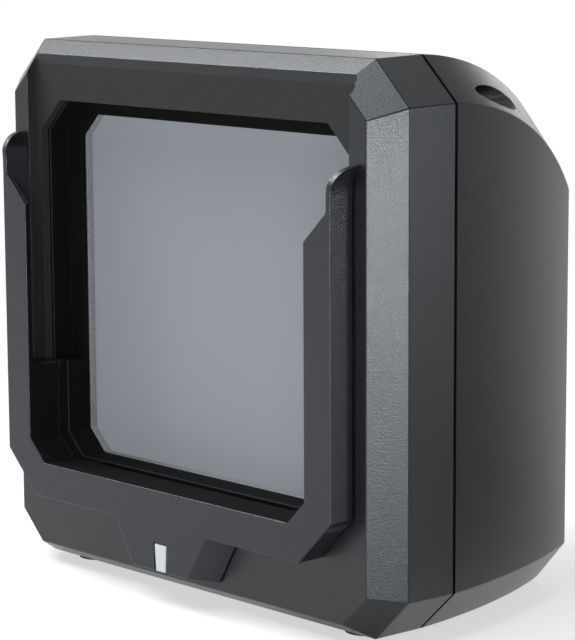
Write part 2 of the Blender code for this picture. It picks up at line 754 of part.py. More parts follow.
def make_document_guide(finish):
    rear = GUIDE_DEPTH - GAP
    bm = bmesh.new()
    prism(bm, guide_outline(), 0, rear)
    guide = add_object("document_guide", bm, finish)

    def slot(bm):
        block(
            bm,
            (-SLOT_HALF, SLOT_HALF),
            (GUIDE_PLATE, GUIDE_DEPTH + OVERRUN),
            (LEDGE_HEIGHT, SHOULDER_HEIGHT + SHOULDER_RISE),
        )

    def channel(bm):
        outer_cut = inset_cut(GUIDE_CORNER_CUT, GUIDE_WALL)
        inner_cut = inset_cut(GUIDE_CORNER_CUT, GUIDE_FACE_WIDTH - GUIDE_WALL)
        bottom = GUIDE_BOTTOM + GUIDE_WALL
        roof = LEDGE_HEIGHT - LEDGE_THICKNESS
        outline = mirrored([
            (SLOT_HALF - outer_cut, bottom),
            (SLOT_HALF, bottom + outer_cut),
            (SLOT_HALF, roof),
            (RECESS_HALF + GUIDE_WALL, roof),
            (RECESS_HALF + GUIDE_WALL, RECESS_BOTTOM - GUIDE_WALL + inner_cut),
            (RECESS_HALF + GUIDE_WALL - inner_cut, RECESS_BOTTOM - GUIDE_WALL),
        ])
        prism(bm, outline, GUIDE_PLATE, GUIDE_DEPTH + OVERRUN)

    def rail_crown(bm):
        """All that lies above the quarter ellipse of the rails' tops."""
        steps = 8
        profile = [(-OVERRUN, RAIL_FRONT_HEIGHT)]
        for step in range(steps + 1):
            angle = math.pi / 2 * step / steps
            rise = RAIL_CROWN * math.sin(angle)
            profile.append((GUIDE_DEPTH * (1 - math.cos(angle)), RAIL_FRONT_HEIGHT + rise))
        top = RAIL_FRONT_HEIGHT + RAIL_CROWN
        behind = GUIDE_DEPTH + OVERRUN
        profile += [(behind, top), (behind, top + OVERRUN), (-OVERRUN, top + OVERRUN)]
        reach = GUIDE_HALF + FLARE_RADIUS
        loft(bm, [[(x, depth, z) for depth, z in profile] for x in (-reach, reach)])

    def ledge_and_skirt(bm):
        inner_cut = inset_cut(GUIDE_CORNER_CUT, GUIDE_FACE_WIDTH)
        outer_cut = inset_cut(GUIDE_CORNER_CUT, GUIDE_FACE_WIDTH - GUIDE_WALL)
        outer = RECESS_HALF + GUIDE_WALL
        outline = mirrored([
            (outer - outer_cut, RECESS_BOTTOM - GUIDE_WALL),
            (outer, RECESS_BOTTOM - GUIDE_WALL + outer_cut),
            (outer, LEDGE_HEIGHT - LEDGE_THICKNESS),
            (SLOT_HALF - GAP, LEDGE_HEIGHT - LEDGE_THICKNESS),
            (SLOT_HALF - GAP, LEDGE_HEIGHT),
            (RECESS_HALF, LEDGE_HEIGHT),
            (RECESS_HALF, RECESS_BOTTOM + inner_cut),
            (RECESS_HALF - inner_cut, RECESS_BOTTOM),
        ])
        prism(bm, outline, GUIDE_DEPTH - GUIDE_WALL, GUIDE_DEPTH + SKIRT_REACH)

    def tab(bm):
        loft(bm, [at_depth(tab_outline(grow, drop), depth) for grow, drop, depth in (
            (0, 0, 0),
            (TAB_DRAFT, TAB_DROP, rear),
        )])

    def tab_hollow(bm):
        front_share = GUIDE_PLATE / GUIDE_DEPTH
        rear_share = 1 + OVERRUN / GUIDE_DEPTH
        rings = []
        for share in (front_share, rear_share):
            outline = tab_outline(TAB_DRAFT * share - GUIDE_WALL, TAB_DROP * share - GUIDE_WALL)
            outline = [(x, min(z, GUIDE_BOTTOM)) for x, z in outline]
            lower = [outline[0], outline[1], outline[4], outline[5]]
            rings.append(at_depth(lower, GUIDE_DEPTH * share))
        loft(bm, rings)

    def bosses(bm):
        for x, z in guide_screw_places():
            depth_rod(bm, x, z, SMALL_BOSS_RADIUS, GUIDE_PLATE - SINK, rear)

    def holes(bm):
        for x, z in guide_screw_places():
            start = FACE - GUIDE_SCREW_REACH - GAP
            depth_rod(bm, x, z, SMALL_SCREW_RADIUS + GAP, start, GUIDE_DEPTH + OVERRUN)

    def light_notch(bm):
        prism(bm, light_outline(GAP, TAB_BOTTOM - OVERRUN), -OVERRUN, GUIDE_PLATE + GAP)

    join(guide, "tab", tab)
    cut(guide, "slot", slot)
    cut(guide, "channel", channel)
    cut(guide, "rail_crown", rail_crown)
    join(guide, "ledge_and_skirt", ledge_and_skirt)
    cut(guide, "tab_hollow", tab_hollow)
    join(guide, "bosses", bosses)
    cut(guide, "holes", holes)
    cut(guide, "light_notch", light_notch)
    return guide


def make_status_light(finishes):
    bm = bmesh.new()
    prism(bm, light_outline(0, TAB_BOTTOM), 0, GUIDE_PLATE + GAP)
    pipe = add_object("status_light_pipe", bm, finishes["light"])
    middle = light_stem_height()
    flange_rear = GUIDE_PLATE + GAP + LIGHT_FLANGE
    bottom = TAB_BOTTOM + GUIDE_WALL + GAP
    led_front = status_board_front() - LED_HEIGHT

    def flange(bm):
        half = LIGHT_TOP_WIDTH / 2 + LIGHT_FLANGE_MARGIN
        top = TAB_BOTTOM + LIGHT_HEIGHT + LIGHT_FLANGE_MARGIN
        block(bm, (-half, half), (GUIDE_PLATE + GAP, flange_rear), (bottom, top))

    def face_root(bm):
        prism(bm, light_outline(-GAP, bottom), GUIDE_PLATE - GAP, flange_rear - GAP)

    def stem(bm):
        half = LIGHT_STEM_WIDTH / 2
        reach = LIGHT_STEM_HEIGHT / 2
        block(bm, (-half, half), (GUIDE_PLATE, led_front - GAP), (middle - reach, middle + reach))

    join(pipe, "face_root", face_root)
    join(pipe, "flange", flange)
    join(pipe, "stem", stem)

    board_front = status_board_front()
    bm = bmesh.new()
    half = STATUS_BOARD_WIDTH / 2
    reach = STATUS_BOARD_HEIGHT / 2
    board_depths = (board_front, board_front + LED_BOARD_THICKNESS)
    block(bm, (-half, half), board_depths, (middle - reach, middle + reach))
    board = add_object("status_light_board", bm, finishes["board"])

    def led(bm):
        side = LED_SIZE / 2
        block(bm, (-side, side), (led_front, board_front + SINK), (middle - side, middle + side))

    def holes(bm):
        for x, z in status_post_places():
            depth_rod(bm, x, z, SMALL_SCREW_RADIUS + GAP, board_front - OVERRUN, board_front + OVERRUN * 2)

    join(board, "led", led)
    cut(board, "holes", holes)


def add_small_screws(name, routes, finish):
    """One object for each small screw, given by its seat and its tip."""
    for number, (seat, tip) in enumerate(routes, start=1):
        bm = bmesh.new()
        screw(bm, seat, tip, SMALL_SCREW_RADIUS, SMALL_HEAD_RADIUS, SMALL_HEAD_HEIGHT)
        add_object(f"{name}_{number}", bm, finish)


# Recess, seal and glass

def ring_object(name, outer, inner, front, rear, finish):
    """A flat ring between two outlines."""
    bm = bmesh.new()
    prism(bm, outer, front, rear)
    made = add_object(name, bm, finish)
    cut(made, "opening", lambda bm: prism(bm, inner, front - OVERRUN, rear + OVERRUN))
    return made


def make_window(finishes):
    """The hood, seal, glass and clamp, stacked behind the front shell's opening."""
    bm = bmesh.new()
    prism(bm, recess_outline(HOOD_WALL), HOOD_FRONT, HOOD_REAR)
    hood = add_object("window_hood", bm, finishes["black"])
    flange_front = HOOD_REAR - HOOD_FLANGE
    cut(hood, "recess", lambda bm: prism(bm, recess_outline(0), HOOD_FRONT - OVERRUN, flange_front))
    cut(hood, "window", lambda bm: prism(bm, window_outline(0), flange_front - OVERRUN, HOOD_REAR + OVERRUN))

    seal_rear = SEAL_FRONT + SEAL_THICKNESS
    outer = window_outline(SEAL_WIDTH)
    ring_object("window_seal", outer, window_outline(0), SEAL_FRONT, seal_rear, finishes["seal"])

    bm = bmesh.new()
    prism(bm, window_outline(GLASS_BORDER), GLASS_FRONT, GLASS_FRONT + GLASS_THICKNESS)
    add_object("window_glass", bm, finishes["glass"])

    clamp_rear = CLAMP_FRONT + CLAMP_THICKNESS
    outer, inner = window_outline(CLAMP_BORDER), window_outline(CLAMP_LIP)
    clamp = ring_object("glass_clamp", outer, inner, CLAMP_FRONT, clamp_rear, finishes["black"])
    ear_x = ear_places()[-1][0]

    def ears(bm):
        for side in (-1, 1):
            for z in ear_heights():
                reach = sorted((side * (RECESS_HALF + CLAMP_BORDER - SINK), side * (ear_x + EAR_WIDTH / 3)))
                block(bm, reach, (CLAMP_FRONT, clamp_rear), (z - EAR_WIDTH / 2, z + EAR_WIDTH / 2))

    def holes(bm):
        for x, z in ear_places():
            depth_rod(bm, x, z, SMALL_SCREW_RADIUS + GAP, CLAMP_FRONT - OVERRUN, clamp_rear + OVERRUN)
        for x, z in shroud_screw_places():
            depth_rod(bm, x, z, SMALL_SCREW_RADIUS + GAP, CLAMP_FRONT - OVERRUN, clamp_rear + OVERRUN)

    join(clamp, "ears", ears)
    cut(clamp, "holes", holes)
    seat = clamp_rear + GAP
    tip = CLAMP_FRONT - CLAMP_SCREW_REACH
    routes = [((x, seat, z), (x, tip, z)) for x, z in ear_places()]
    add_small_screws("clamp_screw", routes, finishes["steel"])


def shroud_screw_places():
    x = RECESS_HALF + CLAMP_LIP + SHROUD_MARGIN + SMALL_HEAD_RADIUS + GAP * 2
    return [(side * x, z) for side in (-1, 1) for z in (
        RECESS_BOTTOM + SHROUD_SCREW_MARGIN,
        WINDOW_TOP - SHROUD_SCREW_MARGIN,
    )]


# Light chamber

def chamber_outline(grow):
    return window_outline(CLAMP_LIP + SHROUD_MARGIN + grow)


def chamber_bottom():
    return RECESS_BOTTOM - CLAMP_LIP - SHROUD_MARGIN


def end_outline(radius):
    half = radius
    cut_size = half * DIAGONAL_SHARE
    return octagon(half, WINDOW_CENTRE - half, WINDOW_CENTRE + half, cut_size)


def make_chamber(finishes):
    """The antenna board and the shroud that keeps stray light off the camera."""
    outer, inner = window_outline(CLAMP_BORDER), window_outline(CLAMP_LIP)
    rear = ANTENNA_FRONT + ANTENNA_THICKNESS
    antenna = ring_object("antenna_board", outer, inner, ANTENNA_FRONT, rear, finishes["board"])

    def board_holes(bm):
        for x, z in shroud_screw_places():
            depth_rod(bm, x, z, SMALL_SCREW_RADIUS + GAP, ANTENNA_FRONT - OVERRUN, rear + OVERRUN)

    cut(antenna, "holes", board_holes)

    bm = bmesh.new()
    flange_rear = SHROUD_FRONT + SHROUD_FLANGE
    loft(bm, [
        at_depth(outer, SHROUD_FRONT),
        at_depth(outer, flange_rear),
        at_depth(chamber_outline(0), flange_rear),
        at_depth(chamber_outline(0), SHROUD_BEND),
        at_depth(end_outline(SHROUD_END_RADIUS), SHROUD_END),
    ])
    shroud = add_object("light_shroud", bm, finishes["black"])

    def inside(bm):
        loft(bm, [
            at_depth(chamber_outline(-SHROUD_WALL), SHROUD_FRONT - OVERRUN),
            at_depth(chamber_outline(-SHROUD_WALL), SHROUD_BEND),
            at_depth(end_outline(SHROUD_END_RADIUS - SHROUD_WALL), SHROUD_END),
            at_depth(end_outline(SHROUD_END_RADIUS - SHROUD_WALL), SHROUD_END + OVERRUN),
        ])

    def holes(bm):
        for x, z in shroud_screw_places():
            depth_rod(bm, x, z, SMALL_SCREW_RADIUS + GAP, SHROUD_FRONT - OVERRUN, flange_rear + OVERRUN)
        for side in (-1, 1):
            x, depth, z = led_cable_start(side)
            rod(bm, (x, depth, z), (x, depth, chamber_bottom() - OVERRUN), CABLE_RADIUS + GAP)

    cut(shroud, "inside", inside)
    cut(shroud, "holes", holes)
    seat = flange_rear + GAP
    routes = [((x, seat, z), (x, CLAMP_FRONT + GAP, z)) for x, z in shroud_screw_places()]
    add_small_screws("shroud_screw", routes, finishes["steel"])


def led_board_x():
    """The inner face of a lighting board, which stands against the shroud's side wall."""
    return RECESS_HALF + CLAMP_LIP + SHROUD_MARGIN - SHROUD_WALL - GAP - LED_BOARD_THICKNESS


def led_board_depth():
    return SHROUD_FRONT + SHROUD_FLANGE + (SHROUD_STRAIGHT - LED_BOARD_DEPTH) / 2


def led_cable_start(side):
    x = side * (led_board_x() - CABLE_RADIUS - GAP)
    return x, led_board_depth() + LED_BOARD_DEPTH / 2, WINDOW_CENTRE - LED_BOARD_LENGTH / 2 + EAR_WIDTH / 3


def make_led_boards(finishes):
    front = led_board_depth()
    rear = front + LED_BOARD_DEPTH
    bottom = WINDOW_CENTRE - LED_BOARD_LENGTH / 2
    top = WINDOW_CENTRE + LED_BOARD_LENGTH / 2
    middle = (front + rear) / 2
    inner = led_board_x()
    pitch = (LED_BOARD_LENGTH - EAR_WIDTH * 2) / (LED_COUNT - 1)
    for side, word in ((-1, "left"), (1, "right")):
        bm = bmesh.new()
        reach = sorted((side * inner, side * (inner + LED_BOARD_THICKNESS)))
        block(bm, reach, (front, rear), (bottom, top))
        board = add_object(f"led_board_{word}", bm, finishes["board"])

        def leds(bm, side=side):
            reach = sorted((side * (inner - LED_HEIGHT), side * (inner + SINK)))
            for index in range(LED_COUNT):
                z = bottom + EAR_WIDTH + pitch * index
                half = LED_SIZE / 2
                block(bm, reach, (middle - half, middle + half), (z - half, z + half))

        join(board, "leds", leds)
        bm = bmesh.new()
        face = inner - DIFFUSER_STANDOFF
        leg_bottom = bottom + EAR_WIDTH / 2
        leg_top = top - EAR_WIDTH / 2
        outline = [
            (face, leg_bottom),
            (inner - GAP, leg_bottom),
            (inner - GAP, leg_bottom + DIFFUSER_THICKNESS),
            (face + DIFFUSER_THICKNESS, leg_bottom + DIFFUSER_THICKNESS),
            (face + DIFFUSER_THICKNESS, leg_top - DIFFUSER_THICKNESS),
            (inner - GAP, leg_top - DIFFUSER_THICKNESS),
            (inner - GAP, leg_top),
            (face, leg_top),
        ]
        prism(bm, [(side * x, z) for x, z in outline], front + GAP, rear - GAP)
        add_object(f"led_diffuser_{word}", bm, finishes["diffuser"])


# Camera

def camera_post_places():
    reach = CAMERA_BOARD_SIZE / 2 - CAMERA_POST_INSET
    return [(x * reach, WINDOW_CENTRE + z * reach) for x in (-1, 1) for z in (-1, 1)]


def make_camera(finishes):
    front, rear = CAMERA_BOARD_FRONT, CAMERA_BOARD_REAR
    half = CAMERA_BOARD_SIZE / 2
    centre = WINDOW_CENTRE
    bm = bmesh.new()
    block(bm, (-half, half), (front, rear), (centre - half, centre + half))
    board = add_object("camera_board", bm, finishes["board"])

    def holes(bm):
        for x, z in camera_post_places():
            depth_rod(bm, x, z, SMALL_SCREW_RADIUS + GAP, front - OVERRUN, rear + OVERRUN)

    cut(board, "holes", holes)
    seat = front - GAP
    routes = [((x, seat, z), (x, BACK - SHELL_WALL - GAP, z)) for x, z in camera_post_places()]
    add_small_screws("camera_screw", routes, finishes["steel"])

    bm = bmesh.new()
    sensor_front = front - GAP - SENSOR_THICKNESS
    block(
        bm,
        (-SENSOR_WIDTH / 2, SENSOR_WIDTH / 2),
        (sensor_front, front - GAP),
        (centre - SENSOR_HEIGHT / 2, centre + SENSOR_HEIGHT / 2),
    )
    add_object("image_sensor", bm, finishes["chip"])

    holder_rear = front - GAP
    base_front = holder_rear - HOLDER_BASE
    holder_front = holder_rear - HOLDER_LENGTH
    side = HOLDER_SIZE / 2
    bm = bmesh.new()
    block(bm, (-side, side), (base_front, holder_rear), (centre - side, centre + side))
    holder = add_object("lens_holder", bm, finishes["black"])
    chamber = SENSOR_WIDTH / 2 + LED_HEIGHT
    chamber_front = holder_rear - SENSOR_THICKNESS * 2

    def tube(bm):
        depth_rod(bm, 0, centre, HOLDER_RADIUS, holder_front, base_front + SINK)

    def bore(bm):
        depth_rod(bm, 0, centre, BARREL_RADIUS + GAP, holder_front - OVERRUN, chamber_front + SINK)

    def sensor_room(bm):
        room = (centre - chamber, centre + chamber)
        block(bm, (-chamber, chamber), (chamber_front, holder_rear + OVERRUN), room)

    join(holder, "tube", tube)
    cut(holder, "sensor_room", sensor_room)
    cut(holder, "bore", bore)

    barrel_rear = holder_front - GAP + BARREL_LENGTH - BARREL_HEAD
    barrel_rear = min(barrel_rear, chamber_front - GAP)
    head_front = holder_front - GAP - BARREL_HEAD
    bm = bmesh.new()
    depth_rod(bm, 0, centre, BARREL_HEAD_RADIUS, head_front, holder_front - GAP)
    barrel = add_object("lens_barrel", bm, finishes["metal_black"])

    def shank(bm):
        depth_rod(bm, 0, centre, BARREL_RADIUS, holder_front - GAP - SINK, barrel_rear)

    def lens_seat(bm):
        depth_rod(bm, 0, centre, LENS_RADIUS + GAP, head_front - OVERRUN, head_front + LENS_CROWN + GAP)

    def light_way(bm):
        depth_rod(bm, 0, centre, LENS_RADIUS / 2, head_front - OVERRUN, barrel_rear + OVERRUN)

    join(barrel, "shank", shank)
    cut(barrel, "lens_seat", lens_seat)
    cut(barrel, "light_way", light_way)

    bm = bmesh.new()
    steps = 4
    rings = []
    for step in range(steps):
        angle = math.pi / 2 * (step + 1) / steps
        depth = head_front - LENS_CROWN * math.cos(angle)
        rings.append(circle_ring(LENS_RADIUS * math.sin(angle), centre, depth))
    rings.append(circle_ring(LENS_RADIUS, centre, head_front + LENS_CROWN))
    loft(bm, rings)
    add_object("lens_glass", bm, finishes["lens"])


def circle_ring(radius, centre, depth):
    turns = (math.tau * step / CIRCLE_STEPS for step in range(CIRCLE_STEPS))
    return [(radius * math.cos(turn), depth, centre + radius * math.sin(turn)) for turn in turns]


# Main board

def main_post_places():
    x = MAIN_BOARD_HALF - MAIN_POST_INSET
    return [(side * x, depth) for side in (-1, 1) for depth in (
        MAIN_BOARD_FRONT + MAIN_POST_INSET,
        MAIN_BOARD_REAR - MAIN_POST_INSET,
    )]


def board_place(shares):
    across, along = shares
    return MAIN_BOARD_HALF * across, MAIN_BOARD_FRONT + (MAIN_BOARD_REAR - MAIN_BOARD_FRONT) * along


def socket_places():
    return [(-USB_OFFSET, USB_WIDTH, USB_HEIGHT), (POWER_OFFSET, POWER_WIDTH, POWER_HEIGHT)]


def make_main_board(finishes):
    bm = bmesh.new()
    half = MAIN_BOARD_HALF
    block(bm, (-half, half), (MAIN_BOARD_FRONT, MAIN_BOARD_REAR), (MAIN_BOARD_BOTTOM, MAIN_BOARD_TOP))
    board = add_object("main_board", bm, finishes["board"])

    def holes(bm):
        for x, depth in main_post_places():
            reach = (MAIN_BOARD_BOTTOM - OVERRUN, MAIN_BOARD_TOP + OVERRUN)
            rod(bm, (x, depth, reach[0]), (x, depth, reach[1]), SMALL_SCREW_RADIUS + GAP)

    def soldered_parts(bm):
        """The connectors and capacitors, soldered into the board's top."""
        root = MAIN_BOARD_TOP - SINK
        for shares in HEADER_SHARES:
            x, depth = board_place(shares)
            block(
                bm,
                (x - HEADER_LENGTH / 2, x + HEADER_LENGTH / 2),
                (depth - HEADER_DEPTH / 2, depth + HEADER_DEPTH / 2),
                (root, BOARD_SEAT + HEADER_HEIGHT),
            )
        for shares in CAPACITOR_SHARES:
            x, depth = board_place(shares)
            rod(bm, (x, depth, root), (x, depth, BOARD_SEAT + CAPACITOR_HEIGHT), CAPACITOR_RADIUS)

    join(board, "soldered_parts", soldered_parts)
    cut(board, "holes", holes)
    routes = [((x, depth, BOARD_SEAT), (x, depth, SHELL_WALL + GAP)) for x, depth in main_post_places()]
    add_small_screws("main_board_screw", routes, finishes["steel"])

    x, depth = board_place(PROCESSOR_SHARES)
    side = PROCESSOR_SIZE / 2
    chip_top = BOARD_SEAT + PROCESSOR_HEIGHT
    bm = bmesh.new()
    block(bm, (x - side, x + side), (depth - side, depth + side), (BOARD_SEAT, chip_top))
    add_object("processor", bm, finishes["chip"])

    side = SINK_SIZE / 2
    bottom = chip_top + GAP
    base_top = bottom + SINK_BASE
    pitch = (SINK_SIZE - FIN_THICKNESS) / (FIN_COUNT - 1)
    outline = [(x - side, bottom), (x + side, bottom)]
    for index in reversed(range(FIN_COUNT)):
        left = x - side + pitch * index
        right = left + FIN_THICKNESS
        fin_top = bottom + SINK_HEIGHT
        outline += [(right, base_top), (right, fin_top), (left, fin_top), (left, base_top)]
    outline = [outline[0], outline[1]] + outline[3:-1]
    bm = bmesh.new()
    prism(bm, outline, depth - side, depth + side)
    add_object("heat_sink", bm, finishes["aluminium"])

    x, depth = board_place(BUZZER_SHARES)
    bm = bmesh.new()
    rod(bm, (x, depth, BOARD_SEAT), (x, depth, BOARD_SEAT + BUZZER_HEIGHT), BUZZER_RADIUS)
    buzzer = add_object("buzzer", bm, finishes["chip"])
    top = BOARD_SEAT + BUZZER_HEIGHT
    ends = (x, depth, top - OVERRUN), (x, depth, top + OVERRUN)
    cut(buzzer, "sound_hole", lambda bm: rod(bm, *ends, BUZZER_HOLE_RADIUS))


def make_sockets(finishes):
    left, right = -USB_OFFSET - USB_WIDTH / 2, -USB_OFFSET + USB_WIDTH / 2
    top = BOARD_SEAT + USB_HEIGHT
    centre = BOARD_SEAT + USB_HEIGHT / 2
    bm = bmesh.new()
    block(bm, (left, right), (BACK - USB_LENGTH, BACK), (BOARD_SEAT, top))
    usb = add_object("usb_socket", bm, finishes["steel"])

    def mouth(bm):
        block(
            bm,
            (left + USB_METAL, right - USB_METAL),
            (BACK - USB_LENGTH + USB_METAL * 4, BACK + OVERRUN),
            (BOARD_SEAT + USB_METAL, top - USB_METAL),
        )

    def tongue(bm):
        half = USB_TONGUE_WIDTH / 2
        reach = USB_TONGUE_HEIGHT / 2
        depths = (BACK - USB_LENGTH + USB_METAL, BACK - USB_METAL)
        sides = (-USB_OFFSET - half, -USB_OFFSET + half)
        block(bm, sides, depths, (centre - reach, centre + reach))

    cut(usb, "mouth", mouth)
    join(usb, "tongue", tongue)

    left, right = POWER_OFFSET - POWER_WIDTH / 2, POWER_OFFSET + POWER_WIDTH / 2
    centre = BOARD_SEAT + POWER_HEIGHT / 2
    bm = bmesh.new()
    block(bm, (left, right), (BACK - POWER_LENGTH, BACK), (BOARD_SEAT, BOARD_SEAT + POWER_HEIGHT))
    power = add_object("power_socket", bm, finishes["chip"])

    def bore(bm):
        depth_rod(bm, POWER_OFFSET, centre, POWER_BORE_RADIUS, BACK - POWER_BORE_DEPTH, BACK + OVERRUN)

    def pin(bm):
        root = BACK - POWER_BORE_DEPTH - SINK
        depth_rod(bm, POWER_OFFSET, centre, POWER_PIN_RADIUS, root, BACK - USB_METAL)

    cut(power, "bore", bore)
    join(power, "pin", pin)


# Screws and feet

def make_case_screws(finish):
    seat = case_screw_seat()
    tip = case_screw_tip()
    for number, (x, z) in enumerate(case_screw_places(), start=1):
        bm = bmesh.new()
        screw(bm, (x, seat, z), (x, tip, z), CASE_SCREW_RADIUS, CASE_HEAD_RADIUS, CASE_HEAD_HEIGHT, steps=16)
        add_object(f"case_screw_{number}", bm, finish)


def make_guide_screws(finish):
    seat = FACE_INSIDE + GAP
    tip = FACE - GUIDE_SCREW_REACH
    routes = [((x, seat, z), (x, tip, z)) for x, z in guide_screw_places()]
    add_small_screws("guide_screw", routes, finish)


def make_feet(finish):
    for front, row in ((True, "front"), (False, "rear")):
        for (x, depth), side in zip(foot_places(front), ("left", "right")):
            bm = bmesh.new()
            bottom = -FOOT_STANDOFF
            rod(bm, (x, depth, bottom), (x, depth, bottom + FOOT_HEIGHT), FOOT_RADIUS)
            add_object(f"rubber_foot_{row}_{side}", bm, finish)


# Cables

def tube(name, points, radius, finish):
    curve = bpy.data.curves.new(name, "CURVE")
    curve.dimensions = "3D"
    curve.bevel_depth = radius
    curve.bevel_resolution = 1
    curve.use_fill_caps = True
    spline = curve.splines.new("POLY")
    spline.points.add(len(points) - 1)
    for point, place in zip(spline.points, points):
        point.co = (*place, 1)
    curve.materials.append(finish)
    made = bpy.data.objects.new(name, curve)
    made.parent = bpy.data.objects[CARRIER_NAME]
    bpy.context.scene.collection.objects.link(made)


def swept(points, steps=6):
    """A smooth curve through a start, a bend or two and an end, square at both ends."""
    route = [Vector(point) for point in points]
    placed = []
    for step in range(steps * (len(route) - 1) + 1):
        t = step / (steps * (len(route) - 1))
        level = route
        while len(level) > 1:
            level = [a.lerp(b, t) for a, b in zip(level, level[1:])]
        placed.append(tuple(level[0]))
    return placed


def header_top(index):
    x, depth = board_place(HEADER_SHARES[index])
    return x, depth, BOARD_SEAT + HEADER_HEIGHT + GAP


def raised(place):
    """A little above a cable's end, so that the cable comes down square on it."""
    x, depth, z = place
    return x, depth, z + CABLE_RADIUS * 5


def make_cables(finishes):
    for index, side, word in ((0, -1, "left"), (1, 1, "right")):
        start = led_cable_start(side)
        outlet = chamber_bottom() - CABLE_RADIUS
        straight = (start[0], start[1], outlet)
        below = (start[0], start[1], outlet - CABLE_RADIUS * 4)
        end = header_top(index)
        points = [start] + swept([straight, below, raised(end), end])
        tube(f"led_cable_{word}", points, CABLE_RADIUS, finishes["wire"])

    board_rear = status_board_front() + LED_BOARD_THICKNESS + GAP
    height = light_stem_height()
    end = header_top(2)
    points = swept([(0, board_rear, height), (0, SEAM, height), raised(end), end])
    tube("status_light_cable", points, CABLE_RADIUS, finishes["wire"])

    end = header_top(3)
    depth = ANTENNA_FRONT + ANTENNA_THICKNESS / 2
    edge = RECESS_BOTTOM - CLAMP_BORDER - GAP
    points = swept([(end[0], depth, edge), (end[0], depth, end[2]), raised(end), end])
    tube("antenna_cable", points, CABLE_RADIUS, finishes["wire"])

    end = header_top(4)
    top = WINDOW_CENTRE - CAMERA_BOARD_SIZE / 2 + CAMERA_POST_INSET
    depth = CAMERA_BOARD_FRONT - GAP - RIBBON_THICKNESS / 2
    bend = (top + end[2]) / 2
    path = swept([(0, depth, top), (0, depth, bend), (0, end[1], bend), end])
    half_width, half = RIBBON_WIDTH / 2, RIBBON_THICKNESS / 2
    bm = bmesh.new()
    loft(bm, [[
        (-half_width, depth - half, z),
        (half_width, depth - half, z),
        (half_width, depth + half, z),
        (-half_width, depth + half, z),
    ] for x, depth, z in path])
    add_object("camera_ribbon", bm, finishes["ribbon"])


def make_finishes():
    return {
        "shell": material("housing plastic", (0.045, 0.047, 0.05), 0.55),
        "guide": material("guide plastic", (0.05, 0.052, 0.056), 0.45),
        "black": material("black plastic", (0.012, 0.012, 0.013), 0.6),
        "seal": material("grey foam", (0.16, 0.165, 0.17), 0.9),
        "glass": material("window glass", (0.25, 0.265, 0.29), 0.08),
        "light": material("light pipe", (0.8, 0.83, 0.86), 0.3),
        "rubber": material("black rubber", (0.02, 0.02, 0.02), 0.85),
        "steel": material("zinc steel", (0.5, 0.5, 0.5), 0.35, 1.0),
        "board": material("circuit board", (0.02, 0.12, 0.05), 0.4),
        "chip": material("chip plastic", (0.015, 0.015, 0.016), 0.5),
        "aluminium": material("aluminium", (0.6, 0.6, 0.62), 0.35, 1.0),
        "diffuser": material("opal plastic", (0.8, 0.8, 0.8), 0.4),
        "metal_black": material("anodised black", (0.02, 0.02, 0.022), 0.35, 0.6),
        "lens": material("coated lens", (0.05, 0.06, 0.1), 0.05),
        "ribbon": material("ribbon cable", (0.35, 0.2, 0.06), 0.4),
        "wire": material("wire insulation", (0.03, 0.03, 0.03), 0.5),
    }


def main():
    for made in list(bpy.data.objects):
        bpy.data.objects.remove(made, do_unlink=True)
    carrier = bpy.data.objects.new(CARRIER_NAME, None)
    carrier.location = (0, -BACK / 2, FOOT_STANDOFF)
    bpy.context.scene.collection.objects.link(carrier)
    finishes = make_finishes()
    make_front_shell(finishes["shell"])
    make_rear_shell(finishes["shell"])
    make_document_guide(finishes["guide"])
    make_status_light(finishes)
    make_window(finishes)
    make_chamber(finishes)
    make_led_boards(finishes)
    make_camera(finishes)
    make_main_board(finishes)
    make_sockets(finishes)
    make_case_screws(finishes["steel"])
    make_guide_screws(finishes["steel"])
    make_feet(finishes["rubber"])
    make_cables(finishes)


if __name__ == "__main__":
    main()
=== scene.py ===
"""Models and finishes a counter-top passport reader over its packed construction frame."""
import json
import math

import bmesh
import bpy
from bpy.props import FloatProperty, FloatVectorProperty, PointerProperty
from mathutils import Matrix, Vector


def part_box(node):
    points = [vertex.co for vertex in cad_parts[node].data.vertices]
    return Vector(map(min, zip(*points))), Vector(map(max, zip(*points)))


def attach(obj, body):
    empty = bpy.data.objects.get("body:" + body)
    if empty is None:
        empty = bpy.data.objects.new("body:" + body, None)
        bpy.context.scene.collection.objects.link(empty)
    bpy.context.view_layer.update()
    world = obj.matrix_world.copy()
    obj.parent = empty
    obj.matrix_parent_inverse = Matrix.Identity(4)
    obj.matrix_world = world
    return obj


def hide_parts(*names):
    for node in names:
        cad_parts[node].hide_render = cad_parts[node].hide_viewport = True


bl_info = {
    "name": "Passport Reader",
    "version": (1, 0, 0),
    "blender": (4, 5, 0),
    "location": "3D View > Sidebar > Reader",
    "description": "Models and finishes a counter-top passport reader over its construction frame",
    "category": "Object",
}

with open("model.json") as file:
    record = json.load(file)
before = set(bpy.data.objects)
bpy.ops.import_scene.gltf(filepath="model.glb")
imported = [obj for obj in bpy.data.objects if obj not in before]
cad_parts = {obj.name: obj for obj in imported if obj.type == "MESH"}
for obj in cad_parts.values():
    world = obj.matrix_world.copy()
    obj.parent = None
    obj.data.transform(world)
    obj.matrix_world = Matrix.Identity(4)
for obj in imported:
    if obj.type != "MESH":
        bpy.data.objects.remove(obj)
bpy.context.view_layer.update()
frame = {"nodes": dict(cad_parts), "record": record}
NODES = frame["nodes"]
GUIDE_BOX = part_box("document_guide")
FRONT_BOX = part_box("front_shell")
REAR_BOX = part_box("rear_shell")

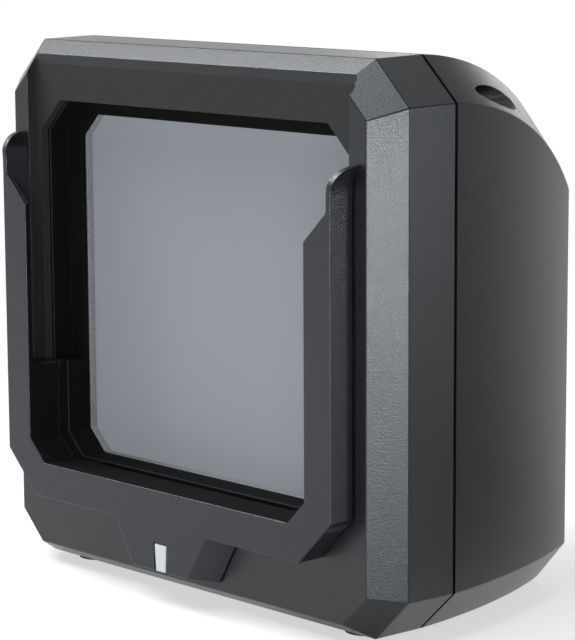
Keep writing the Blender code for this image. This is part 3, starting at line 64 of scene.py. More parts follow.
# Depths run back from the guide's front face, and heights run up from the underside of the housing
ORIGIN = Vector((0, GUIDE_BOX[0].y, FRONT_BOX[0].z))
HALF_WIDTH = FRONT_BOX[1].x
BODY_HEIGHT = FRONT_BOX[1].z - ORIGIN.z
FACE = FRONT_BOX[0].y - ORIGIN.y
SEAM = FRONT_BOX[1].y - ORIGIN.y
BACK = REAR_BOX[1].y - ORIGIN.y
GUIDE_TOP = GUIDE_BOX[1].z - ORIGIN.z
TAB_BOTTOM = GUIDE_BOX[0].z - ORIGIN.z
DIAGONAL_SHARE = 2 - math.sqrt(2)  # what a 45 degree corner cut loses as its outline moves in
GAP = 0.0003  # the frame's clearance between pieces
OVERRUN = 0.002  # how far a cutting solid reaches past the face that it opens
ROUND_SIDES = 48  # sides of a round bar
REAR_RINGS = 24  # rings along the rear shell's curve
CROWN_STEPS = 16
FLARE_STEPS = 10
SMOOTH_ANGLE = 35  # degrees below which two faces are shaded as one
RUNS_BACK = 0.1  # largest depth share in the normal of a face that runs straight back
MATT = 0.85  # roughness of the faces that look into the recess


# Sizes and colours that a user may change

def length(description, default):
    return FloatProperty(description=description, default=default, min=0, unit="LENGTH", precision=5)


def share(description, default):
    return FloatProperty(description=description, default=default, min=0, max=1, subtype="FACTOR")


def colour(description, default):
    return FloatVectorProperty(
        description=description, default=default, subtype="COLOR", size=3, min=0, max=1
    )


class ReaderHousingSizes(bpy.types.PropertyGroup):
    corner_cut: length("Height of the cut on each corner of the housing", 0.0116)
    seam_corner_width: length("Width of the corner cut at the seam", 0.012)
    rear_corner_width: length("Width left of the corner cut at the back", 0.0102)
    draft: length("How much smaller the front shell is at its ridge than at the seam", 0.00035)
    bevel: length("Width and depth of the bevel round the front face", 0.0077)
    face_lift: length("Height of the front face's lower edge", 0.0047)
    face_drop: length("How far the front face's upper edge is below the top", 0.0065)
    face_corner_cut: length("Corner cut of the front face", 0.0085)
    side_draw_in: length("How far each side has curved in at the back", 0.0162)
    top_drop: length("How far the top has curved down at the back", 0.0274)
    side_lean: share("Share of the side draw-in that is straight rather than curved", 0.31)
    top_lean: share("Share of the top drop that is straight rather than curved", 0.1)
    wall: length("Thickness of the moulded shells", 0.0025)
    edge_round: length("Radius along the housing's long edges", 0.0003)
    fine_round: length("Radius along the seam and the edges of openings", 0.00013)
    seam_gap: length("Width of the groove between the two shells", 0.001)
    upper_screw_inset: length("Upper case screws, from the side", 0.0076)
    upper_screw_drop: length("Upper case screws, below the top", 0.0119)
    lower_screw_inset: length("Lower case screws, from the side", 0.0255)
    lower_screw_rise: length("Lower case screws, above the underside", 0.0155)
    well_radius: length("Radius of the wells that hold the case screws", 0.0035)
    well_wall: length("Thickness of the wells' walls", 0.0016)
    screw_seat: length("Thickness of the plastic under the case screws' heads", 0.003)
    screw_hole_radius: length("Radius of the case screws' holes", 0.0017)


class ReaderGuideSizes(bpy.types.PropertyGroup):
    width: length("Width of the guide over its side walls", 0.1319)
    bottom: length("Height of the guide's lower bar over the underside", 0.0208)
    corner_cut: length("Cut on the guide's lower corners", 0.012)
    face_width: length("Width of the guide's front face", 0.0098)
    plate: length("Thickness of the guide's front plate", 0.0015)
    wall: length("Thickness of the guide's side walls", 0.0017)
    shoulder_height: length("Height at which the front face starts to narrow", 0.1028)
    shoulder_rise: length("Height over which the front face narrows", 0.0079)
    rail_crown: length("Rise of a rail's rounded top from front to back", 0.0062)
    flare_drop: length("How far below its crown a rail starts to lean out", 0.0014)
    flare_radius: length("Radius of a rail's lean", 0.014)
    ledge_height: length("Height of the ledges that carry a document", 0.0573)
    ledge_thickness: length("Thickness of the ledges", 0.0015)
    skirt_reach: length("How far the guide's skirt reaches into the housing", 0.0023)
    tab_top_width: length("Width of the light tab under the lower bar", 0.0372)
    tab_bottom_width: length("Width of the light tab's lower edge", 0.0228)
    tab_draft: length("How far the tab's sides spread towards the housing", 0.004)
    tab_drop: length("How far the tab's foot drops towards the housing", 0.0016)
    light_top_width: length("Width of the status light at its top", 0.0048)
    light_bottom_width: length("Width of the status light at its foot", 0.0038)
    light_height: length("Height of the status light", 0.0075)
    edge_round: length("Radius along the guide's edges", 0.00036)


class ReaderWindowSizes(bpy.types.PropertyGroup):
    pocket_depth: length("Depth of the pocket behind a document", 0.003)
    cavity_margin: length("Width of the pocket's rim beside the recess", 0.0022)
    cavity_top_margin: length("Height of the wall over the recess", 0.017)
    cavity_corner_cut: length("Upper corner cut of the recess", 0.0085)
    window_top_margin: length("Height of the frame over the window", 0.004)
    hood_wall: length("Thickness of the recess's walls", 0.0018)
    hood_flange: length("Thickness of the frame in front of the glass", 0.0015)
    seal_width: length("Width of the foam seal", 0.0038)
    glass_border: length("How far the glass reaches behind its frame", 0.0048)
    slot_half: length("Half the length of the slot in the recess's floor", 0.0397)
    slot_drop: length("Depth of the slot in the recess's floor", 0.0015)
    edge_round: length("Radius along the recess's edges", 0.0003)


class ReaderColours(bpy.types.PropertyGroup):
    housing: colour("Grained plastic of the shells", (0.0038, 0.0041, 0.0046))
    guide: colour("Plastic of the document guide", (0.0038, 0.0041, 0.0048))
    # Besides the hood's own plastic, this darker black paints shade on the guide's and front shell's
    # faces inside the recess.
    recess: colour("Black plastic inside the recess", (0.0022, 0.0022, 0.0024))
    seal: colour("Foam round the glass", (0.135, 0.141, 0.149))
    glass: colour("Tint of the scanning window", (0.096, 0.102, 0.113))
    light: colour("Milky plastic of the status light", (0.36, 0.385, 0.41))
    backdrop: colour("Floor round the reader", (0.93, 0.93, 0.93))


def housing():
    return bpy.context.scene.reader_housing


def guide():
    return bpy.context.scene.reader_guide


def window():
    return bpy.context.scene.reader_window


def colours():
    return bpy.context.scene.reader_colours


# Shader expressions

def plug(tree, socket, value):
    """Link a value to a socket, or set it there."""
    if isinstance(value, Value):
        tree.links.new(value.socket, socket)
    else:
        socket.default_value = value


def node(tree, kind, settings=None, sockets=None, output=0):
    """Add a node, with its settings first and then the values of its sockets."""
    made = tree.nodes.new(kind)
    for name, value in (settings or {}).items():
        setattr(made, name, value)
    for name, value in (sockets or {}).items():
        plug(tree, made.inputs[name], value)
    return Value(tree, made.outputs[output])


def maths(operation, swapped=False):
    """A method that adds a maths node with the value and another number or value."""
    def method(self, other=0):
        values = (other, self) if swapped else (self, other)
        return node(self.tree, "ShaderNodeMath", {"operation": operation}, dict(enumerate(values)))

    return method


class Value:
    """One output socket, so that shader maths reads as a Python expression."""
    __add__ = __radd__ = maths("ADD")
    __sub__ = maths("SUBTRACT")
    __rsub__ = maths("SUBTRACT", swapped=True)
    __mul__ = __rmul__ = maths("MULTIPLY")
    __truediv__ = maths("DIVIDE")
    __pow__ = maths("POWER")
    __abs__ = maths("ABSOLUTE")

    def __init__(self, tree, socket):
        self.tree = tree
        self.socket = socket

    def step(self, low, high):
        """0 below `low`, 1 above `high` and a soft step between."""
        sockets = {"Value": self, "From Min": low, "From Max": high}
        return node(self.tree, "ShaderNodeMapRange", {"interpolation_type": "SMOOTHSTEP"}, sockets)


def vector_math(tree, operation, sockets, output=0):
    return node(tree, "ShaderNodeVectorMath", {"operation": operation}, sockets, output)


class Finish:
    """A procedural material, whose nodes are added by expressions on its values."""

    def __init__(self, name, base, roughness, metallic=0.0, **uniform):
        self.material = bpy.data.materials.new(name)
        self.material.use_nodes = True
        self.tree = self.material.node_tree
        self.shader = self.tree.nodes["Principled BSDF"]
        self.base = tuple(base)
        self.feed("Base Color", (*self.base, 1))
        self.feed("Roughness", roughness)
        self.feed("Metallic", metallic)
        for socket, value in uniform.items():
            self.feed(socket.replace("_", " "), value)
        self.place = self.node("ShaderNodeTexCoord", output="Object")

    def node(self, kind, settings=None, sockets=None, output=0):
        return node(self.tree, kind, settings, sockets, output)

    def feed(self, socket, value):
        plug(self.tree, self.shader.inputs[socket], value)

    def axis(self, index):
        return self.node("ShaderNodeSeparateXYZ", sockets={0: self.place}, output=index)

    def moved(self, amount, size):
        """The place, stirred by up to `amount` metres in swirls of about `size`."""
        swirls = self.noise(size, output="Color")
        middle = (0.5, 0.5, 0.5)
        centred = vector_math(self.tree, "SUBTRACT", {0: swirls, 1: middle})
        scaled = vector_math(self.tree, "SCALE", {0: centred, "Scale": amount})
        return vector_math(self.tree, "ADD", {0: self.place, 1: scaled})

    def noise(self, size, detail=2.0, place=None, stretch=None, output=0):
        """Noise whose features are about `size` metres across."""
        place = place or self.place
        if stretch:
            place = self.node("ShaderNodeMapping", sockets={"Vector": place, "Scale": stretch})
        sockets = {"Vector": place, "Scale": 1 / size, "Detail": detail}
        return self.node("ShaderNodeTexNoise", sockets=sockets, output=output)

    def cells(self, size, feature="F1"):
        """Distances in cells about `size` metres across."""
        sockets = {"Vector": self.place, "Scale": 1 / size}
        return self.node("ShaderNodeTexVoronoi", {"feature": feature}, sockets)

    def mix(self, mask, first, second):
        """A colour between two, by a mask."""
        colours_in = [value if isinstance(value, Value) else (*value, 1) for value in (first, second)]
        sockets = {0: mask, 6: colours_in[0], 7: colours_in[1]}
        return self.node("ShaderNodeMix", {"data_type": "RGBA"}, sockets, output=2)

    def tone(self, amount, mask):
        """The base colour, darker where the mask is 0 and lighter where it is 1."""
        dark = tuple(part * (1 - amount) for part in self.base)
        light = tuple(min(part * (1 + amount), 1) for part in self.base)
        return self.mix(mask, dark, light)

    def bump(self, height, depth):
        """Raise the surface by a height from 0 to 1, times `depth` metres."""
        self.feed("Normal", self.node("ShaderNodeBump", sockets={"Height": height, "Distance": depth}))


# Finishes

def behind_face(finish, first, low, high):
    """1 inside the recess: between the rails, deeper than `first` and from `low` to `high`."""
    x, y, z = abs(finish.axis(0)), finish.axis(1) - ORIGIN.y, finish.axis(2) - ORIGIN.z
    half = slot_half() + GAP
    within = 1 - x.step(half, half + GAP)
    deep = y.step(first, first + GAP) * (1 - y.step(SEAM, SEAM + GAP))
    return within * deep * z.step(low - GAP, low) * (1 - z.step(high, high + GAP))


def moulded(name, base, roughness, grain, depth, mottle_and_glint=1.0, lining=None, **uniform):
    """Spark-eroded plastic: short wrinkles and a soft mottle, whose lighter specks on the raised grain
    are painted glints, and a matt lining where one is given.
    """
    finish = Finish(name, base, roughness, **uniform)
    stirred = finish.moved(amount=grain, size=grain * 2)
    relief = finish.noise(grain, detail=1.0, place=stirred).step(0.3, 0.7)
    cloud = finish.noise(size=0.02, detail=3)
    relief_share, relief_gloss, cloud_gloss = 0.85, 0.03, 0.04
    # Lighter specks on the raised grain are painted glints; the soft cloud is the plastic's own uneven
    # tone.
    grain_and_glints = relief * relief_share + cloud * (1 - relief_share)
    finish.feed("Base Color", finish.tone(mottle_and_glint, grain_and_glints))
    rough = roughness + (cloud - 0.5) * cloud_gloss + (relief - 0.5) * relief_gloss
    if lining:
        rough = rough + behind_face(finish, *lining) * (MATT - roughness)
    finish.feed("Roughness", rough)
    finish.bump(relief, depth)
    return finish.material


def patterned(name, base, pattern, contrast, depth, roughness, spread=0.0, metallic=0.0):
    """A finish whose tone, relief and, with a `spread`, roughness follow one pattern."""
    finish = Finish(name, base, roughness, metallic)
    mask = pattern(finish)
    finish.feed("Base Color", finish.tone(contrast, mask))
    if spread:
        finish.feed("Roughness", roughness + mask * spread)
    finish.bump(mask, depth)
    return finish.material


def foam(name, base):
    """Foam with fine open pores."""
    def pores(finish):
        return finish.cells(size=0.0005).step(0.1, 0.5)

    return patterned(name, base, pores, contrast=0.3, depth=0.00008, roughness=0.9)


def noisy(name, base, size, detail, stretch=None, **settings):
    """A finish whose pattern is noise, drawn out into streaks where a `stretch` is given."""
    return patterned(name, base, lambda finish: finish.noise(size, detail, stretch=stretch), **settings)


def rubber(name, base):
    return noisy(
        name, base, size=0.0006, detail=4, contrast=0.25, depth=0.00005, roughness=0.78, spread=0.15
    )


def opal(name, base):
    """Milky plastic that spreads the lamps' light."""
    return noisy(name, base, size=0.001, detail=3, contrast=0.05, depth=0.00002, roughness=0.4)


def metal(name, base, **settings):
    return noisy(name, base, depth=0.00001, spread=0.2, metallic=1.0, **settings)


def plated_steel(name, base):
    return metal(name, base, size=0.0008, detail=4, stretch=(1, 6, 1), contrast=0.12, roughness=0.24)


def drawn_metal(name, base):
    """Metal with the lines that its die or lathe left."""
    return metal(name, base, size=0.0004, detail=2, stretch=(1, 0.05, 1), contrast=0.1, roughness=0.28)


def ribbon_film(name, base):
    """Amber film with its conductors running along it."""
    def strands(finish):
        bands = {"Vector": finish.place, "Scale": 320.0}
        return finish.node("ShaderNodeTexWave", {"bands_direction": "X"}, bands)

    return patterned(name, base, strands, contrast=0.4, depth=0.00002, roughness=0.3)


def painted_glow(name, base, size, detail, contrast, roughness, spread=0.0, **uniform):
    """A hazy plastic or glass with a painted glow: emission that makes it look lit, though no lamp is in
    it.
    """
    finish = Finish(name, base, roughness, **uniform)
    haze = finish.noise(size, detail)
    tone = finish.tone(contrast, haze)
    finish.feed("Base Color", tone)
    finish.feed("Emission Color", tone)
    if spread:
        finish.feed("Roughness", roughness + haze * spread)
    return finish.material


def tinted_glass_with_painted_glow(name, base):
    """Tinted glass with a painted glow that makes it look evenly lit, and a faint haze."""
    return painted_glow(
        name, base, size=0.03, detail=4, contrast=0.01, roughness=0.28, spread=0.06,
        Specular_IOR_Level=0.1, Emission_Strength=1.4,
    )


def milky_light_painted_glow(name, base):
    # The faint emission is a painted glow in the milky plastic, which no lamp lights.
    return painted_glow(
        name, base, size=0.002, detail=2, contrast=0.05, roughness=0.3, Emission_Strength=0.08
    )


def circuit_board(name, base):
    """Solder mask over copper traces, with tinned pads."""
    finish = Finish(name, base, roughness=0.35)
    traces = finish.cells(size=0.004, feature="DISTANCE_TO_EDGE").step(0.02, 0.05)
    pads = 1 - finish.cells(size=0.0025).step(0.12, 0.16)
    mask = finish.tone(amount=0.35, mask=traces)
    tinned = (0.6, 0.58, 0.5)
    finish.feed("Base Color", finish.mix(pads, mask, tinned))
    finish.feed("Metallic", pads)
    finish.bump(traces, 0.00002)
    return finish.material


def coated_lens(name, base):
    """A lens with a violet bloom."""
    finish = Finish(name, base, roughness=0.04)
    bloom = finish.noise(size=0.004)
    violet = (0.09, 0.03, 0.12)
    finish.feed("Base Color", finish.mix(bloom, base, violet))
    finish.feed("Coat Weight", 0.6 + bloom * 0.4)
    return finish.material


def make_finishes():
    tint = colours()
    recess_top = BODY_HEIGHT - housing().face_drop - GAP
    return {
        "housing_plastic": moulded(
            "Housing plastic", tint.housing, roughness=0.3, grain=0.00036, depth=0.00002, mottle_and_glint=0.5,
            lining=(FACE + GAP, recess_bottom() - guide().wall, recess_top),
            Specular_Tint=(0.88, 0.94, 1, 1),
        ),
        "guide_plastic": moulded(
            "Guide plastic", tint.guide, roughness=0.34, grain=0.0004, depth=0.000035, mottle_and_glint=0.5,
            lining=(guide().edge_round + GAP, recess_bottom() - GAP, BODY_HEIGHT),
            Specular_Tint=(0.83, 0.88, 1, 1),
        ),
        "black_plastic": moulded(
            "Black plastic", tint.recess, roughness=0.8, grain=0.0005, depth=0.000015,
            Specular_IOR_Level=0.08,
        ),
        "chip_plastic": moulded(
            "Chip plastic", (0.012, 0.012, 0.013), roughness=0.5, grain=0.0002, depth=0.00001, mottle_and_glint=0.2
        ),
        "grey_seal": foam("Grey foam", tint.seal),
        "window_glass": tinted_glass_with_painted_glow("Tinted glass", tint.glass),
        "light_pipe": milky_light_painted_glow("Milky light pipe", tint.light),
        "foot_rubber": rubber("Foot rubber", (0.018, 0.018, 0.018)),
        "wire_insulation": rubber("Wire sleeve", (0.03, 0.03, 0.032)),
        "zinc_steel": plated_steel("Zinc-plated steel", (0.55, 0.55, 0.53)),
        "circuit_board": circuit_board("Circuit board", (0.012, 0.09, 0.035)),
        "bare_aluminium": drawn_metal("Bare aluminium", (0.6, 0.6, 0.62)),
        "anodised_barrel": drawn_metal("Anodised barrel", (0.02, 0.02, 0.022)),
        "opal_plastic": opal("Opal plastic", (0.78, 0.78, 0.76)),
        "lens_coating": coated_lens("Coated lens", (0.03, 0.05, 0.1)),
        "ribbon_film": ribbon_film("Ribbon film", (0.35, 0.19, 0.05)),
    }


FINISHES = {}


# Outlines, as x and height

def mirrored(right_side):
    """Close an outline given by its right side, bottom to top."""
    return right_side + [(-x, z) for x, z in reversed(right_side)]


def octagon(half_width, bottom, top, cut_height, cut_width):
    """A rectangle with the same cut on all four corners."""
    return mirrored([
        (half_width - cut_width, bottom),
        (half_width, bottom + cut_height),
        (half_width, top - cut_height),
        (half_width - cut_width, top),
    ])


def rectangle(x_range, z_range):
    left, right = x_range
    bottom, top = z_range
    return [(left, bottom), (right, bottom), (right, top), (left, top)]


def inset_cut(cut_size, inset):
    """The corner cut of an outline moved in by `inset`, or out where that is negative."""
    return max(cut_size - inset * DIAGONAL_SHARE, 0)


def half_guide():
    return guide().width / 2


def slot_half():
    """Half the width between the guide's side walls."""
    return half_guide() - guide().wall


def recess_half():
    return half_guide() - guide().face_width


def recess_bottom():
    return guide().bottom + guide().face_width


def cavity_half():
    return slot_half() - window().cavity_margin


def cavity_top():
    return BODY_HEIGHT - window().cavity_top_margin


def window_top():
    return cavity_top() - window().window_top_margin


def window_outline(grow):
    """The scanning window's octagon, grown on all sides."""
    size = inset_cut(guide().corner_cut, guide().face_width - grow)
    return octagon(recess_half() + grow, recess_bottom() - grow, window_top() + grow, size, size)


def recess_outline(grow):
    """The recess: narrow below the ledges and wider above them."""
    size = inset_cut(guide().corner_cut, guide().face_width - grow)
    top_size = inset_cut(window().cavity_corner_cut, -grow)
    narrow, wide = recess_half() + grow, cavity_half() + grow
    ledge = guide().ledge_height - grow
    return mirrored([
        (narrow - size, recess_bottom() - grow),
        (narrow, recess_bottom() - grow + size),
        (narrow, ledge),
        (wide, ledge),
        (wide, cavity_top() + grow - top_size),
        (wide - top_size, cavity_top() + grow),
    ])


def front_section(depth, inset=0.0):
    """The front shell's outline at a depth, moved in by `inset`."""
    sizes = housing()
    ridge = FACE + sizes.bevel
    slope = min(max((depth - FACE) / sizes.bevel, 0), 1)
    drawn = min(max((depth - ridge) / (SEAM - ridge), 0), 1)
    moved_in = inset + sizes.draft * slope * (1 - drawn)
    growth = sizes.corner_cut - sizes.face_corner_cut
    corner = inset_cut(sizes.face_corner_cut + growth * slope, inset)
    width = corner + (sizes.seam_corner_width - sizes.corner_cut) * drawn
    return octagon(
        HALF_WIDTH - sizes.bevel * (1 - slope) - moved_in,
        sizes.face_lift * (1 - slope) + moved_in,
        BODY_HEIGHT - sizes.face_drop * (1 - slope) - moved_in,
        corner,
        width,
    )


def arc_sag(distance, run, drop):
    """How far an arc, level at its start, has dropped after `distance` of its `run`."""
    radius = (run ** 2 + drop ** 2) / (2 * drop)
    return radius - math.sqrt(radius ** 2 - distance ** 2)


def drawn_in(distance, drop, lean):
    """How far a rear face has come in: partly at an even slope and partly along an arc."""
    run = BACK - SEAM
    return drop * lean * distance / run + arc_sag(distance, run, drop) * (1 - lean)


def rear_section(depth, inset=0.0):
    """The rear shell's outline at a depth, moved in by `inset`."""
    sizes = housing()
    distance = min(max(depth - SEAM, 0), BACK - SEAM)
    corner = inset_cut(sizes.corner_cut, inset)
    narrowing = (sizes.seam_corner_width - sizes.rear_corner_width) * distance / (BACK - SEAM)
    width = inset_cut(sizes.seam_corner_width, inset) - narrowing
    return octagon(
        HALF_WIDTH - drawn_in(distance, sizes.side_draw_in, sizes.side_lean) - inset,
        inset,
        BODY_HEIGHT - drawn_in(distance, sizes.top_drop, sizes.top_lean) - inset,
        corner,
        width,
    )


def node_box(name):
    """A frame node's lowest and highest corners, in the script's own depths and heights."""
    return [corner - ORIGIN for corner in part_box(name)]


def node_centre(name):
    low, high = node_box(name)
    return (low + high) / 2


def case_screw_places():
    sizes = housing()
    return [(side * x, z) for side in (-1, 1) for x, z in (
        (HALF_WIDTH - sizes.upper_screw_inset, BODY_HEIGHT - sizes.upper_screw_drop),
        (HALF_WIDTH - sizes.lower_screw_inset, sizes.lower_screw_rise),
    )]


def steps_between(first, last, count):
    return [first + (last - first) * step / count for step in range(count + 1)]


# Modelling helpers

def deselect():
    if bpy.context.object and bpy.context.object.mode == "EDIT":
        bpy.ops.object.mode_set(mode="OBJECT")
    for other in bpy.context.selected_objects:
        other.select_set(False)


def select_only(piece):
    deselect()
    bpy.context.view_layer.objects.active = piece
    piece.select_set(True)


def at_depth(outline, depth):
    return [(x, depth, z) for x, z in outline]


def move_selected(piece, before, after):
    """Move the selected corners from one ring of places to another."""
    mesh = bmesh.from_edit_mesh(piece.data)
    chosen = [vert for vert in mesh.verts if vert.select]
    for start, end in zip(before, after):
        nearest = min(chosen, key=lambda vert: (vert.co - start).length)
        chosen.remove(nearest)
        nearest.co = end
    bmesh.update_edit_mesh(piece.data)


def loft(name, rings):
    """Extrude a flat outline through a row of outlines that have as many corners."""
    placed = [[Vector(point) + ORIGIN for point in ring] for ring in rings]
    count = len(placed[0])
    deselect()
    bpy.ops.mesh.primitive_circle_add(vertices=count, radius=1, fill_type="NGON", enter_editmode=True)
    piece = bpy.context.object
    piece.name = name
    mesh = bmesh.from_edit_mesh(piece.data)
    mesh.verts.ensure_lookup_table()
    loop = [vert.co.copy() for vert in mesh.faces[:][0].verts]
    move_selected(piece, loop, placed[0])
    for before, after in zip(placed, placed[1:]):
        bpy.ops.mesh.extrude_region()
        move_selected(piece, before, after)
    bpy.ops.mesh.select_all(action="SELECT")
    bpy.ops.mesh.normals_make_consistent(inside=False)
    bpy.ops.object.mode_set(mode="OBJECT")
    return piece


def prism(name, outline, front, rear):
    return loft(name, [at_depth(outline, front), at_depth(outline, rear)])


def block(name, x_range, depth_range, z_range):
    return prism(name, rectangle(x_range, z_range), *depth_range)


def rod(name, start, end, radius, vertices=ROUND_SIDES):
    """A round bar between two points."""
    start, end = Vector(start) + ORIGIN, Vector(end) + ORIGIN
    axis = end - start
    deselect()
    bpy.ops.mesh.primitive_cylinder_add(
        vertices=vertices,
        radius=radius,
        depth=axis.length,
        location=(start + end) / 2,
        rotation=axis.to_track_quat("Z", "Y").to_euler(),
    )
    piece = bpy.context.object
    piece.name = name
    bpy.ops.object.transform_apply(location=True, rotation=True, scale=True)
    return piece


def depth_rod(name, x, z, radius, front, rear):
    return rod(name, (x, front, z), (x, rear, z), radius)


def modify(piece, kind, **settings):
    """Add a modifier and apply it."""
    select_only(piece)
    made = piece.modifiers.new(kind.title(), kind)
    for name, value in settings.items():
        setattr(made, name, value)
    bpy.ops.object.modifier_apply(modifier=made.name)
    return piece


def combine(piece, tool, operation):
    modify(piece, "BOOLEAN", operation=operation, object=tool)
    bpy.data.objects.remove(tool, do_unlink=True)
    return piece


def cut(piece, *tools):
    for tool in tools:
        combine(piece, tool, "DIFFERENCE")
    return piece


def join(piece, *tools):
    for tool in tools:
        combine(piece, tool, "UNION")
    return piece


def round_edges(piece, radius, angle=30, segments=3):
    """Round every edge sharper than `angle` degrees."""
    return modify(
        piece, "BEVEL", width=radius, segments=segments, miter_outer="MITER_ARC",
        limit_method="ANGLE", angle_limit=math.radians(angle),
    )


def finished(piece, slot, *stands_for):
    """Shade a piece, give it its finish, attach it to the root and hide the frame nodes it stands for.
    """
    select_only(piece)
    bpy.ops.object.shade_smooth_by_angle(angle=math.radians(SMOOTH_ANGLE))
    modify(piece, "WEIGHTED_NORMAL", keep_sharp=True)
    piece.data.materials.clear()
    piece.data.materials.append(FINISHES[slot])
    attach(piece, "root")
    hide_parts(*stands_for)
    return piece


def finish_faces(piece, slot, chosen):
    """Give a second finish to the faces that `chosen` picks by their centre and normal."""
    piece.data.materials.append(FINISHES[slot])
    for face in piece.data.polygons:
        if chosen(face.center - ORIGIN, face.normal):
            face.material_index = 1


def paint_recess_shade(piece):
    """Give the flat faces that look into the recess the matt black of its hood: a darker colour with
    weak gloss that paints in the shade of the recess.
    """
    reach = GAP * 2
    bottom, top = recess_bottom(), cavity_top()
    middle = Vector((0, 0, (bottom + top) / 2))

    def looks_in(centre, normal):
        inside = abs(centre.x) < recess_half() + reach and bottom - reach < centre.z < top + reach
        return inside and abs(normal.y) < RUNS_BACK and normal.dot(middle - centre) > 0

    finish_faces(piece, "black_plastic", looks_in)


def copy_to_nodes(original, names, ending, slot):
    """Put a copy of a piece made at the first node on each node, and remove the original."""
    for name in names:
        copied = original.copy()
        copied.data = original.data.copy()
        copied.name = name + ending
        bpy.context.scene.collection.objects.link(copied)
        copied.data.transform(Matrix.Translation(node_centre(name) - node_centre(names[0])))
        finished(copied, slot, name)
    bpy.data.objects.remove(original, do_unlink=True)


# Stage

def set_camera():
    """The photograph's view: 47 degrees round to the right and 10 degrees up."""
    azimuth, elevation, roll = (math.radians(angle) for angle in (47.135, 9.797, -0.308))
    target = Vector((0.050204, -0.0465, 0.076351))
    distance = 0.66503
    data = bpy.data.cameras.new("Camera")
    data.lens = 149.607
    data.shift_x = 0.0015
    data.shift_y = 0.04525
    camera = bpy.data.objects.new("Camera", data)
    turn = (
        Matrix.Rotation(azimuth, 4, "Z")
        @ Matrix.Rotation(math.pi / 2 - elevation, 4, "X")
        @ Matrix.Rotation(roll, 4, "Z")
    )
    back = turn.to_3x3() @ Vector((0, 0, 1))
    camera.matrix_world = Matrix.Translation(target + back * distance) @ turn
    bpy.context.scene.collection.objects.link(camera)
    bpy.context.scene.camera = camera


WHITE = (1, 1, 1, 1)

# Name, bearing and elevation in degrees, distance, width and height in metres, and power in watts
SOFTBOXES = (
    ("Key softbox", 44, -2.2, 0.8, 0.4, 0.065, 3.8),
    ("High softbox", -68, 50, 1.2, 0.6, 0.6, 15),
    ("Front softbox", 5, 62, 1.2, 0.6, 0.6, 8),
    ("Right softbox", 116, 0, 1.6, 0.35, 0.15, 5.3),
    ("Top softbox", 180, 60, 1.2, 0.6, 0.6, 1),
    ("Back softbox", -150, 13, 1.6, 0.8, 0.3, 1.3),
)


def softbox(name, azimuth, elevation, distance, width, height, power):
    """An area light that faces the reader, placed by its bearing."""
    data = bpy.data.lights.new(name, "AREA")
    data.shape = "RECTANGLE"
    data.size, data.size_y = width, height
    data.energy = power
    lamp = bpy.data.objects.new(name, data)
    turned, raised = math.radians(azimuth), math.radians(elevation)
    flat = math.cos(raised)
    back = Vector((math.sin(turned) * flat, -math.cos(turned) * flat, math.sin(raised)))
    lamp.location = Vector((0, 0, BODY_HEIGHT / 2)) + back * distance
    lamp.rotation_euler = back.to_track_quat("Z", "Y").to_euler()
    bpy.context.scene.collection.objects.link(lamp)


def background_rays(tree, seen=1.0, sent_on=1.0):
    """How far a ray shows the background: `seen` by the camera, and `sent_on` by gloss or glass."""
    path = tree.nodes.new("ShaderNodeLightPath")
    gloss = Value(tree, path.outputs["Is Glossy Ray"]) + Value(tree, path.outputs["Is Transmission Ray"])
    return Value(tree, path.outputs["Is Camera Ray"]) * seen + gloss * sent_on


def white_share(tree, way):
    """How white gloss sees the surroundings in a direction: least to the reader's right."""
    dim_bearing, dimming = math.radians(105), 0.95
    facing = (math.sin(dim_bearing), -math.cos(dim_bearing), 0)
    level = vector_math(tree, "NORMALIZE", {0: way})
    turned = vector_math(tree, "DOT_PRODUCT", {0: level, 1: facing}, "Value")
    return 1 - turned.step(0.3, 1.0) * dimming


def set_world():
    """Soft light all round, and plain white behind the reader."""
    world = bpy.data.worlds.new("Studio")
    world.use_nodes = True
    bpy.context.scene.world = world
    tree = world.node_tree
    soft = tree.nodes["Background"]
    soft.inputs["Color"].default_value = (0.96, 0.98, 1.0, 1)
    soft.inputs["Strength"].default_value = 0.3
    way = node(tree, "ShaderNodeTexCoord")
    overhead = node(tree, "ShaderNodeSeparateXYZ", sockets={0: way}, output=2).step(0.15, 0.5)
    dimming = 0.9
    rays = background_rays(tree, sent_on=white_share(tree, way) * (1 - overhead * dimming))
    white = node(tree, "ShaderNodeBackground", sockets={"Color": WHITE})
    mix = node(tree, "ShaderNodeMixShader", sockets={0: rays, 1: Value(tree, soft.outputs[0]), 2: white})
    tree.links.new(mix.socket, tree.nodes["World Output"].inputs["Surface"])


